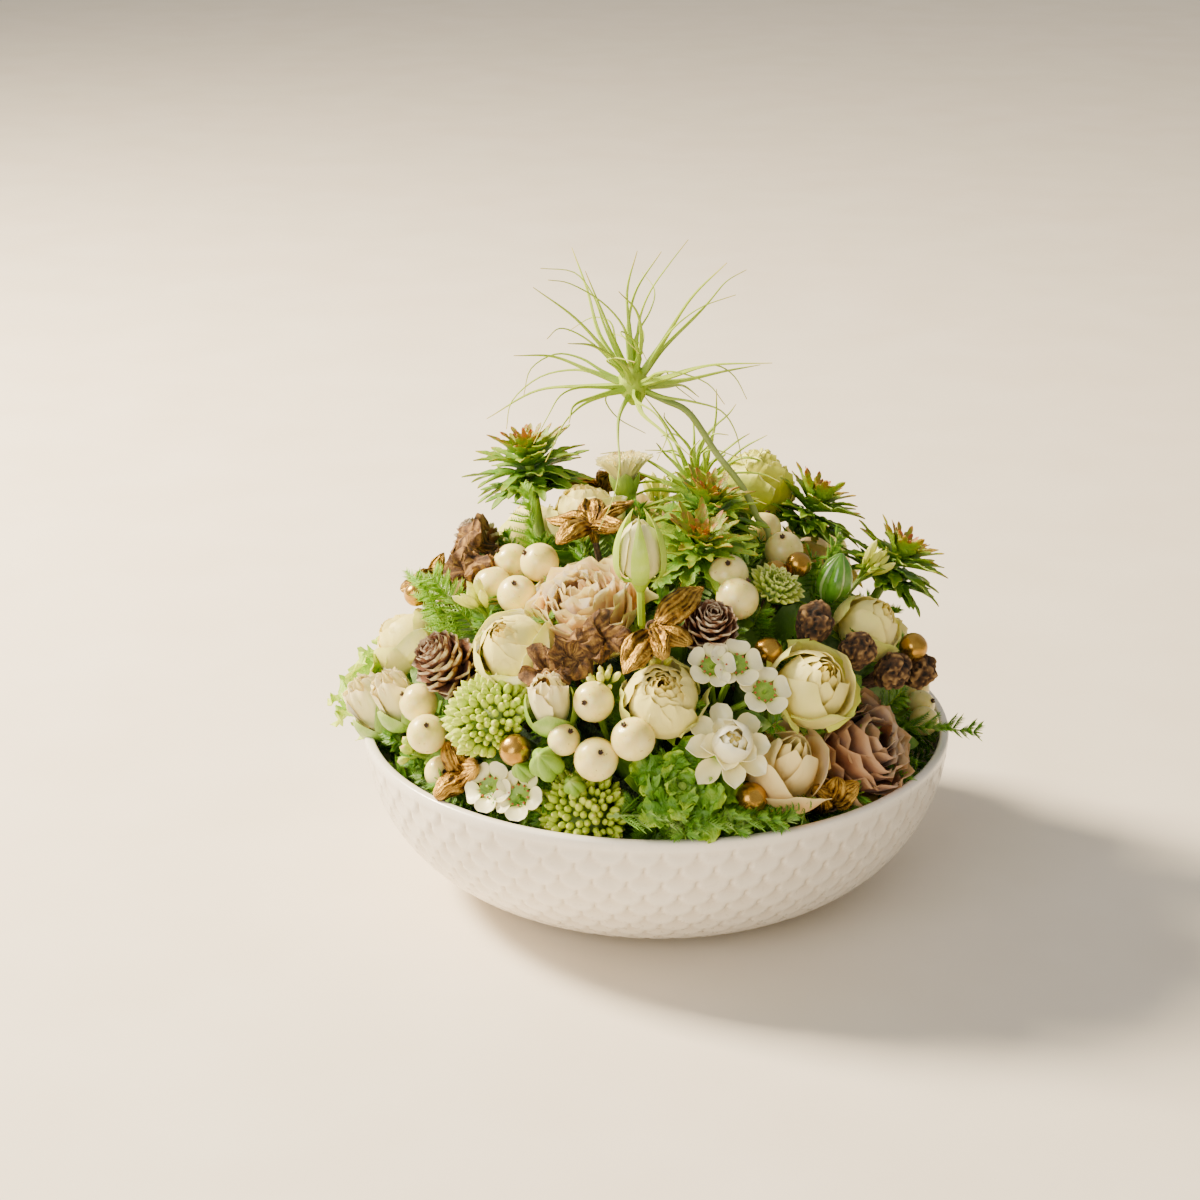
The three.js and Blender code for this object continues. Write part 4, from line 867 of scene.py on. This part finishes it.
cone_scales = Finish("larch cone scales", Roughness=0.8)
rim = cone_scales.attribute("along") + (cone_scales.grain(1.5) - 0.5) * 0.4
rimmed = rim.ramp((0.0, "1a0c05"), (0.55, "522c14"), (0.82, "7c5030"), (1.0, "dccdb0"))
cone_scales.paint(rimmed, relief=cone_scales.grain(0.5, 4), depth=0.3)
twig_bark = Finish("twigs", Roughness=0.9)
bark_brown = twig_bark.grain(1.5).ramp((0.3, "4a3526"), (0.7, "7a5f47"))
twig_bark.paint(bark_brown, relief=twig_bark.grain(0.6), depth=0.3)
woody_cone = [cone_scales, twig_bark]
plant("cone_a", "bark", woody_cone, at(larch_cone(25, 26), -57, 44, sink=14))
plant("cone_b", "bark", woody_cone, at(larch_cone(22, 21), 14, 57, sink=11))
plant("cone_twig_back", "bark", woody_cone, at(larch_cone(21, 22), -116, 54, sink=12),
      at(larch_cone(23, 24), 152, 56, sink=12), fork=(178, 74, 56))

# ---- Dried husks and round pods ----
# Tan husks with ribbed necks and crumpled, curled caps, 12 to 14 mm across, and rough dark round pods, all
# dried, on twigs that join and stand in the foam.


def crumpled(mesh, size, amount, seed):
    """Dents a shape by lumps of about that size in millimetres."""
    for vert in mesh.vertices:
        spot = vert.co / size + Vector((seed, 3.1 * seed, 0))
        spots = (spot, spot + Vector((9, 0, 0)), spot + Vector((0, 9, 0)))
        vert.co += Vector([noise.noise(place) for place in spots]) * amount
    return mesh


def dried_husk(size, turn):
    """A twisted, ribbed neck that opens into a cap, whose edge is rolled back and crumpled."""
    outer = [(0, 0), (0.2, 0.01), (0.27, 0.1), (0.22, 0.28), (0.3, 0.42), (0.5, 0.56), (0.68, 0.62)]
    edge = [(0.74, 0.56), (0.66, 0.44), (0.72, 0.5), (0.78, 0.64), (0.64, 0.74)]
    inner = [(0.42, 0.7), (0.24, 0.6), (0.1, 0.5), (0, 0.48)]
    body = lathed(outer + edge + inner, size, 1.2 * size, 60, 3, 0.42, 0, 1.3)
    lean = about_z(math.radians(turn)) @ Matrix.Rotation(math.radians(26), 4, "X")
    return gathered([(crumpled(crumpled(body, 5, 3.6, turn), 1.6, 0.9, turn), lean)])


def rough_pod(size, seed):
    bm = bmesh.new()
    along = bm.verts.layers.float.new("along")
    bmesh.ops.create_icosphere(bm, subdivisions=4, radius=1)
    for vert in bm.verts:
        lump = noise.noise(vert.co * 1.6 + Vector((seed, 0, 0)))
        crack = max(1 - 4.5 * abs(noise.noise(vert.co * 3.2 + Vector((0, seed, 0)))), 0)
        grit = noise.noise(vert.co * 13 + Vector((0, 0, seed)))
        vert[along] = 0.6 - 0.5 * crack + 0.6 * grit + 0.3 * lump
        vert.co *= 0.5 * size * (1 + 0.25 * lump - 0.16 * crack + 0.06 * grit)
        vert.co.z = 1.12 * vert.co.z + 0.47 * size
    return as_mesh(bm)


husk_tan = Finish("dry husks", Roughness=0.85)
ribs = (husk_tan.attribute("around") * (15 * math.pi)).math("SINE") * 0.12
husk_shade = husk_tan.attribute("along") * 0.25 + husk_tan.grain(2.5, 6) * 0.9 + ribs
tan = husk_shade.ramp((0.36, "241406"), (0.6, "64421c"), (0.95, "a8803c"))
husk_tan.paint(tan, relief=husk_tan.grain(0.6, 5) + ribs, depth=0.5)
pod_brown = Finish("rough pods", Roughness=0.9)
pod_shade = pod_brown.attribute("along").ramp((0.1, "140c05"), (0.5, "4c3218"), (0.95, "a88450"))
pod_brown.paint(pod_shade, relief=pod_brown.grain(0.8, 5), depth=0.5)
plant("dried_a", "husks", [husk_tan, twig_bark], at(dried_husk(12, 0), -15, 56, sink=5),
      at(dried_husk(12, 60), -24, 52, sink=6), at(dried_husk(12, 120), -29, 47, sink=6), fork=(-26, 51, 92))
plant("dried_b", "husks", [husk_tan, twig_bark], at(dried_husk(14, 30), -100, 60, sink=5),
      at(dried_husk(13, 90), -80, 57, sink=6), fork=(-91, 58, 84))
plant("dried_c", "bark", [pod_brown, twig_bark], at(rough_pod(14, 3), 46, 54, sink=7),
      at(rough_pod(13, 4), 54, 47, sink=7), at(rough_pod(13, 5), 63, 41, sink=7),
      at(rough_pod(13, 7), 76, 37, sink=7), fork=(62, 45, 84))

# ---- Gilded pods and beads ----
# Dried seed pods split into boat-shaped halves round a knot, and round seed heads, all brushed with antique
# gold paint that is worn back to brown in the hollows.


def split_pod(length, width, seed):
    """A long pod, ribbed lengthwise and split open along its top."""

    def place(across, share):
        half = 0.5 * width * max(math.sin(math.pi * share**0.8), 0) ** 0.7
        angle = math.pi * across
        slit = 1 - 0.5 * max(1 - abs(across) / 0.12, 0) * math.sin(math.pi * share)
        rib = 1 + 0.07 * math.cos(11 * angle) + 0.03 * math.cos(23 * angle + 5 * share)
        lift = 0.1 * length * math.sin(math.pi * share) + 0.05 * length * share
        return share * length, half * rib * math.sin(angle), lift + 0.62 * half * rib * slit * math.cos(angle)

    return crumpled(crumpled(surface(60, 22, place), 7, 1.6, seed), 1.6, 0.35, seed)


def split_pods(*pods):
    """Pods of a bearing, rise, length and width round a knot that is bound with wire."""
    knot = [(0, -1), (2, -0.6), (2.3, 2), (2.1, 6), (1.2, 7.4), (0, 7.8)]
    parts = [lathed(knot, sides=10, lobes=5, depth=0.15, material=0)]
    for seed, (bearing, rise, length, width) in enumerate(pods):
        way = about_z(math.radians(bearing)) @ Matrix.Rotation(-math.radians(rise), 4, "Y")
        parts.append((split_pod(length, width, seed), Matrix.Translation((0, 0, 5)) @ way))
    angles = [k * TURN / 10 for k in range(21)]
    turns = [(2.6 * math.cos(a), 2.6 * math.sin(a), 5.6 + 0.16 * a) for a in angles]
    return gathered([*parts, tube(turns, [0.35, 0.35], 5, rows=40)])


def bead(radius):
    ball = lathed(sphere_profile(radius, 0.3), sides=24, material=2)
    cap = lathed([(0, -0.8), (1.3, -0.5), (1.6, 0.6), (0, 0.9)], sides=8, material=2)
    return gathered([ball, cap])


gilding = Finish("antique gold paint", Metallic=0.85, Roughness=0.36)
grooves = (gilding.attribute("around") * (16 * math.pi)).math("SINE") * 0.1
wear = gilding.grain(3, 6) * 0.9 + gilding.attribute("along") * 0.15 + grooves
worn_gold = wear.ramp((0.32, "2e1c06"), (0.47, "84601c"), (0.74, "d0a648"))
gilding.paint(worn_gold, gilding.grain(1.5) * 0.3 + 0.22, gilding.grain(0.6, 5) + grooves, 0.5)
bead_gold = Finish("antique gold beads", Metallic=0.9, Roughness=0.26)
bead_shade = bead_gold.grain(5).ramp((0.3, "9c7226"), (0.7, "cba048"))
bead_gold.paint(bead_shade, relief=bead_gold.grain(1.2), depth=0.08)
clump = split_pods((20, 35, 15, 11), (140, 30, 15, 11), (260, 35, 15, 11))
steep_clump = split_pods((20, 40, 14, 10), (80, 50, 13, 10), (140, 35, 14, 10))
star = split_pods((10, 5, 20, 10), (82, 12, 18, 9), (150, 5, 19, 10), (222, 10, 17, 9), (294, 5, 20, 10))
cross = split_pods((43, 6, 23, 11), (243, 4, 23, 11), (283, 12, 17, 9), (328, 8, 15, 9))
gold_bead, small_bead = bead(5.5), bead(5)
gilded = [gilding, twig_bark, bead_gold]
for name, fork, *heads in (
    ("gold_pods_d", (-38, 31, 86),
     at(clump, -45, 28.4, out=-4.2, sink=10), at(gold_bead, -30, 35, out=0.4, sink=6)),
    ("gold_pods_c", None, at(steep_clump, 37, 25, out=-5, sink=8)),
    ("gold_pods_e", None, at(clump, -104, 46, sink=8)),
    ("gold_star_a", None, at(star, -63, 78, out=3, sink=9)),
    ("gold_star_b", None, at(cross, -2, 56, out=4, sink=6)),
    ("gold_star_c", None, at(star, -160, 64, out=3, sink=6)),
    ("gold_beads", (30, 48, 56),
     at(gold_bead, 18, 29.3, out=-1.6, sink=8), at(small_bead, 31, 53), at(small_bead, 57, 66, out=1)),
):
    plant(name, "gilding", gilded, *heads, fork=fork)
plant("small_gold_beads", "gilding", gilded, at(bead(4.6), 63, 64, out=1, sink=6),
      at(bead(5.2), 75, 41, out=3, sink=6), at(bead(4.6), -97, 45, out=3, sink=6),
      at(bead(4.8), -164, 38, sink=6), at(bead(4.6), 146, 50, sink=6), added=True)

# ---- Leafy bract heads ----
# Rosettes of toothed lance-shaped leaves, about 45 and 50 mm across, green with red-brown tips, on thick
# stems. Each tier is given by seat height, count, length, half width and rise in degrees.


def bract_head(*tiers):
    top = tiers[-1][0]
    parts = [tube([(0, 0, -1), (0, 0, top)], [1.8, 1.8], 8)]
    chance = random.Random(top)
    lance = dict(cup=0.34, widest=0.46, rounding=0.8, frill=0.8, waves=1.5, teeth=4, tooth=0.5)
    for k, (seat, count, length, half, rise) in enumerate(tiers):
        for i in range(count):
            reach, lift = length * chance.uniform(0.86, 1.04), rise + chance.uniform(-7, 7)
            bend, redness = -chance.uniform(0, 30), k / len(tiers)
            blade = leaf(reach, half, (0.8, seat), lift, bend, tone=redness, phase=i, detail=(2, 16), **lance)
            parts.append((blade, about_z(TURN * i / count + k + chance.uniform(-0.12, 0.12))))
    return gathered(parts)


bract_green = Finish("bract leaves", Roughness=0.5, Subsurface_Weight=0.12, Subsurface_Scale=0.001)
along, tone, mottle = bract_green.attribute("along"), bract_green.attribute("tone"), bract_green.grain(3)
ripening = along * 0.5 + tone * 0.6 + (mottle - 0.5) * 0.7
bract_shade = ripening.ramp((0.0, "2c5206"), (0.4, "55860c"), (0.72, "84a018"), (1.0, "a4581a"))
bract_green.paint(bract_shade, relief=bract_green.grain(0.6), depth=0.3)
tall_bract = bract_head(
    (16, 7, 17, 3.3, 34), (21, 10, 21, 3.7, 6), (25, 12, 24.5, 4, -8), (27, 12, 25, 4.1, 8),
    (29, 11, 23.5, 3.9, 26), (31, 10, 20, 3.6, 44), (32.5, 8, 15, 3, 60), (33.5, 6, 11, 2.4, 76),
)
low_bract = bract_head(
    (4, 7, 17, 3.3, 34), (7, 10, 20, 3.6, 16), (10.5, 12, 22, 3.9, -6), (12.5, 12, 22, 3.9, 8),
    (14.5, 11, 20.5, 3.7, 26), (16.5, 10, 18, 3.4, 44), (17.5, 8, 14, 2.8, 60), (18.5, 6, 10, 2.2, 76),
)
for name, head in (
    ("bract_head_a", at(tall_bract, -131, 64, out=14, sink=26, face=(-131, 78))),
    ("bract_head_b", at(low_bract, 22, 73, sink=14)),
    ("bract_head_c", at(low_bract, 102, 47, out=6, face=(102, 60))),
    ("bract_head_d", at(low_bract, 119, 60, out=4, sink=13)),
    ("bract_head_e", at(low_bract, 62, 81)),
):
    plant(name, "bracts", [bract_green, stem_green], head)

# ---- Curled leaves ----
# Rosettes of bright green leaves with tightly frilled edges, 11 to 33 mm long, on short thick stems that
# stand in the foam near the rim.

LOW_LAYERS = ((1.1, 0, 0), (0.86, 18, 34), (0.6, 38, -20))
TALL_LAYERS = ((1.2, 6, 0), (1.36, 34, 40), (1.3, 54, 20), (0.9, 70, -20))


def frilled_rosette(layers, seed, *leaves):
    """Each layer has leaves of a share of the given lengths, raised and turned by its degrees."""
    chance = random.Random(seed)
    parts = [tube([(0, 0, -1), (0, 0, 8)], [2.2, 1.6], 8)]
    curly = dict(cup=0.2, widest=0.62, rounding=0.5, teeth=9, tooth=0.16, detail=(14, 36))
    for i, (bearing, length, rise) in enumerate(leaves):
        for size, raised, turn in layers:
            waves, phase, reach = chance.uniform(3.4, 4.6), chance.uniform(0, TURN), size * length
            frill = dict(frill=0.15 * size * length, waves=waves, phase=phase, tone=1.2 - size)
            blade = leaf(reach, 0.32 * size * length, (0, 2 + i), rise + raised, -52, **frill, **curly)
            parts.append((crumpled(blade, 3.5, 1.3, i + size), about_z(math.radians(bearing + turn))))
    return gathered(parts)


# In the frilled leaves finish, the dark base colour is partly painted shade deep in the rosette, and the
# bright tip colour partly a painted highlight.
frill_green = leaf_finish("frilled leaves", "264c06", "568c0a", "a8cc22", "c6dc48", 0.4, 0.4)
pale_frill = leaf_finish("pale frilled leaves", "6c9c0a", "a4cc18", "d0e23c", "e2ee70", 0.4, 0.4)
five_leaves = (0, 20, 25), (75, 18, 40), (150, 18, 20), (225, 18, 35), (300, 20, 25)
rosette = frilled_rosette(LOW_LAYERS, 3, *five_leaves)
loose_rosette = frilled_rosette(TALL_LAYERS, 8, (0, 20, 35), (90, 20, 20), (180, 24, 10), (270, 20, 20))
plant("curled_leaf_a", "frilled_leaves", [frill_green, stem_green], at(rosette, 4, 32, out=-3, sink=8))
plant("curled_leaf_b", "frilled_leaves", [pale_frill, stem_green], at(loose_rosette, -95, 27, out=-2, sink=8))

# ---- Air plants ----
# Two rootless plants of thin tapering leaves that arch out of a swollen heart, yellow-green under a grey
# bloom. The upper one rides on an arched wire, the lower one stands behind it.

FACTOR, SUMMAND, RANGE = 1664525, 1013904223, 2**32


def air_plant(base, leaves, length, seed, thin, slimness=0.62):
    """The solid's own leaves, by the same rule, and as many slimmer ones as asked for between them."""
    state = seed

    def chance():
        nonlocal state
        state = (state * FACTOR + SUMMAND) % RANGE
        return state / RANGE

    heart = [(0, -0.5), (0.16, -0.46), (0.34, -0.2), (0.44, 0), (0.36, 0.3), (0.18, 0.6), (0, 0.66)]
    parts = [lathed(heart, base, base, 14, 7, 0.12, 0)]
    for i in range(leaves + thin):
        own = i < leaves
        share = i / leaves if own else (i - leaves + 0.5) / thin
        slim, points, stride, turn = (1, 4, 1, 0) if own else (slimness, 6, 0.545, 0.7)
        step = length * (0.7 + 0.5 * chance()) / 3
        droop = 0.1 + 0.5 * chance() + 0.2 * share
        drift = 0.6 * (chance() - 0.5)
        heading = math.radians(84 - 110 * share)
        spot = Vector((math.cos(heading), 0, math.sin(heading))) * 0.22 * base
        path = []
        for k in range(points):
            path.append(spot.copy())
            spot = spot + Vector((math.cos(heading), drift * k / 3, math.sin(heading))) * step * stride
            heading = max(heading - droop * k / 2, -1.2)
        for k, point in enumerate(path[1:], 1):
            point.y += 0.045 * length * slim * k * math.sin(1.1 * k + 5 * share)
        shape = tube(path, [1.7 * slim, 1.0 * slim, 0.6 * slim, 0.42 * slim, 0.15], 5, 0, share, 20)
        parts.append((shape, about_z(i * GOLDEN + turn)))
    return gathered(parts)


air_plant_green = leaf_finish("air plant leaves", "7ca010", "9ab41e", "bca048", "d2dc6c", 0.55, 0.1)
wire_green = leaf_finish("air plant stem", "6f8a3a", "8a9c4c", "8f7a4a", gloss=0.5)
wire_path = [(-9, -8, 192), (2, -8, 187), (11, -8, 182), (21, -8, 167), (30, -8, 155), (36, -8, 143)]
wire_path += [(40, -6, 128), from_focus(83, 71, STEM_END)]
turned = about_z(math.radians(20)) @ Matrix.Rotation(math.radians(-8), 4, "Y")
upper = (air_plant(14, 17, 57, 11, 22), Matrix.Translation(wire_path[0]) @ turned)
upper_plant = gather([upper, tube(wire_path, [STEM_RADIUS] * 8, 8, 1, rows=40)])
on_wire, in_foam = [air_plant_green, wire_green], [air_plant_green, stem_green]
finish_piece("air_plant_a_leaves", upper_plant, on_wire, "air_plant_leaves", "air_plant_a")
lower_plant = air_plant(15, 12, 34, 5, 28, 0.9)
plant("air_plant_b", "air_plant_leaves", in_foam, at(lower_plant, 159, 71, out=8, sink=8))

# ---- Fern and filling greens ----
# Fine needle sprigs in three bunches, and more of the same set low between the heads with toothed rose
# leaves, so that greenery and not foam shows in every gap.

SPRIG_COUNT, LEAF_COUNT, SKIRT_COUNT = 130, 190, 72
FIRST_RISE, LAST_RISE = 20, 88
BRANCH_STEPS, NEEDLE_RADIUS = 9, 0.27


def fern_sprig(length, needle, nod, pairs=12, seed=1):
    """A sprig that grows along +Z and nods towards +Y: side branches of fine needles on one rib."""
    chance = random.Random(seed)

    def rib(share):
        return Vector((0, nod * length * share**2, 1.05 * length * share))

    def whisker(across, share):
        angle = math.pi * across + math.pi / 2
        radius = NEEDLE_RADIUS * (1 - share)
        return radius * math.cos(angle), radius * math.sin(angle), share

    blade = surface(3, 1, whisker)
    parts = [tube([rib(k / 5) for k in range(6)], [0.55, 0.4, 0.2], 4, 1, rows=6)]
    for i in range(pairs):
        start = rib(0.12 + 0.86 * i / pairs)
        reach = needle * (1.15 - 0.75 * i / pairs)
        for side in (-1, 1):
            way = Vector((side, 0.6 * chance.uniform(-1, 1), 0.75)).normalized()
            for k in range(BRANCH_STEPS):
                for turn in (-1, 1) if k else (0,):
                    spread_out = Vector((0.3 * chance.uniform(-1, 1), 0.9, 0.25 * side)) * 0.8 * turn
                    flare = (way + spread_out + Vector((0, 0, 0.2))).normalized()
                    stretch = Matrix.Diagonal((1, 1, 4.4 - 0.25 * k if turn else reach, 1))
                    pointed = flare.to_track_quat("Z", "Y").to_matrix().to_4x4() @ stretch
                    seat = Matrix.Translation(start + way * reach * k / BRANCH_STEPS)
                    parts.append((blade, seat @ pointed))
    return gathered(parts)


def spread(count, turn=0.0):
    """Bearings and rises spread evenly over the dome by the golden angle."""
    low, high = math.sin(math.radians(FIRST_RISE)), math.sin(math.radians(LAST_RISE))
    for i in range(count):
        bearing = math.degrees(i * GOLDEN) + turn
        yield bearing % 360, math.degrees(math.asin(low + (high - low) * (i + 0.5) / count))


def fill(name, parts, finishes):
    """Finishes greens that only the scene has, drawn in where they would pass through the bowl's wall."""
    bm = gather(parts)
    for vert in bm.verts:
        if vert.co.z < LIP:
            depth = min((LIP - vert.co.z) / (LIP - FLOOR_HEIGHT), 1)
            room = BELLY_START - WALL + (RIM_RADIUS - BELLY_START) * math.sqrt(1 - depth**2) - 1
            reach = math.hypot(vert.co.x, vert.co.y)
            if reach > room:
                vert.co.x *= room / reach
                vert.co.y *= room / reach
    finish_piece(name, bm, finishes, "fern")


fern_green = leaf_finish("fern needles", "38640a", "5f980e", "a6cc2c", gloss=0.5)
bright_fern = leaf_finish("bright fern needles", "548e0a", "8cc010", "c8de3c", gloss=0.5)
bright_leaf = leaf_finish("rose leaves", "2b5208", "4c7c10", "7ea420")
ferny = [fern_green, stem_green]
long_sprig, sprig = fern_sprig(44, 11, -0.18, 16, 2), fern_sprig(32, 11, 0.2, 12, 3)
feathery = fern_sprig(36, 14, 0.25, 15, 5)
plant("fern_right", "fern", ferny, at(long_sprig, 76, 27, out=8, sink=36, face=(72, 16)),
      at(sprig, 90, 58, sink=26), at(sprig, 164, 44, sink=28), fork=(65, 34, 56))
plant("fern_left", "fern", [bright_fern, stem_green],
      at(feathery, -74.5, 47.4, out=1.9, sink=26), at(feathery, -67, 52, out=2, sink=26, spin=80),
      at(feathery, -80, 53, out=2, sink=26, spin=200), at(feathery, -106, 66, out=0.4, sink=26),
      at(feathery, -134.2, 42.5, out=0.4, sink=26), fork=(-100, 58, 56))
front_sprigs = [
    at(sprig, bearing, 27, out=out, sink=sink, face=face, spin=spin)
    for bearing, out, sink, face, spin in (
        (-8, 0, 4, (82, 8), 180), (8, 0, 6, (88, 8), 180), (17, 0, 6, (-78, 8), 180),
        (29, 0, 6, (-62, 8), 180), (4, -2, 24, (4, 18), 180), (14, -2, 24, (20, 18), 150),
        (22, -2, 25, (12, 18), 210),
    )
]
plant("fern_front", "fern", ferny, at(sprig, 10.7, 26, out=-3.2, sink=28), at(sprig, -1, 25, out=-4, sink=24),
      *front_sprigs, fork=(2, 30, 56))

chance = random.Random(77)
parts = []
for bearing, rise in spread(SPRIG_COUNT):
    out, spin = chance.uniform(-11, -4), chance.uniform(0, 360)
    parts.append((sprig, standing(bearing, rise, out, 30, spin=spin)))
fill("fern_filling", parts, ferny)
parts = []
for i in range(SKIRT_COUNT):
    bearing, rise = 360 * i / SKIRT_COUNT + chance.uniform(-2, 2), chance.uniform(19, 25)
    face = (bearing + chance.uniform(-30, 30), chance.uniform(16, 36))
    parts.append((sprig, standing(bearing, rise, -9, 22, face, chance.uniform(0, 360))))
fill("fern_skirt", parts, ferny)
toothed = dict(frill=0.4, waves=2, teeth=5, tooth=0.16, detail=(2, 15))
rose_leaf = leaf(24, 7, (0, 0), 70, -40, 0.3, 0.5, 0.8, **toothed)
parts = []
for bearing, rise in spread(LEAF_COUNT, 31):
    out, spin = -9 - (6 if rise < 30 else 0), chance.uniform(0, 360)
    parts.append((rose_leaf, standing(bearing, rise, out, 20, spin=spin)))
fill("leaf_filling", parts, [bright_leaf])

# ---- Camera, light and floor ----
# The photograph looks down at 20.6 degrees from the front. Light is soft and warm from the back left, with a
# broad pale fill.

CAMERA_DISTANCE, CAMERA_ELEVATION, LENS, SENSOR = 0.966, 20.6, 78, 36
AIM = Vector((-0.021, 0, 0.1075))
FLOOR_HALF = 3
lower = math.radians(CAMERA_ELEVATION)
camera = bpy.data.objects.new("camera", bpy.data.cameras.new("camera"))
camera.data.lens, camera.data.sensor_width = LENS, SENSOR
camera.location = AIM + CAMERA_DISTANCE * Vector((0, -math.cos(lower), math.sin(lower)))
camera.rotation_euler = (math.pi / 2 - lower, 0, 0)
bpy.context.scene.collection.objects.link(camera)
bpy.context.scene.camera = camera


def lamp(name, place, aim, power, size, colour):
    light = bpy.data.lights.new(name, "AREA")
    light.energy, light.size, light.color = power, size, colour
    lit = bpy.data.objects.new(name, light)
    lit.location = place
    lit.rotation_euler = (Vector(aim) - Vector(place)).to_track_quat("-Z", "Y").to_euler()
    bpy.context.scene.collection.objects.link(lit)


lamp("key", (-1.2, 0.45, 1.15), (0, 0, 0.08), 140, 0.4, (1, 0.84, 0.6))
lamp("fill", (-1.0, -1.6, 0.8), (0, 0, 0.08), 26, 1.2, (1, 0.94, 0.84))
world = bpy.data.worlds.new("studio")
world.use_nodes = True
world.node_tree.nodes["Background"].inputs["Color"].default_value = (1, 0.96, 0.9, 1)
world.node_tree.nodes["Background"].inputs["Strength"].default_value = 0.5
bpy.context.scene.world = world

bm = bmesh.new()
bmesh.ops.create_grid(bm, x_segments=1, y_segments=1, size=FLOOR_HALF)
floor_paint = Finish("pale floor", Roughness=0.7)
floor_paint.paint(floor_paint.grain(60).ramp((0.3, "e6dccb"), (0.7, "ebe2d3")))
floor = bpy.data.objects.new("floor", as_mesh(bm, "floor"))
floor.data.materials.append(floor_paint.material)
bpy.context.scene.collection.objects.link(floor)
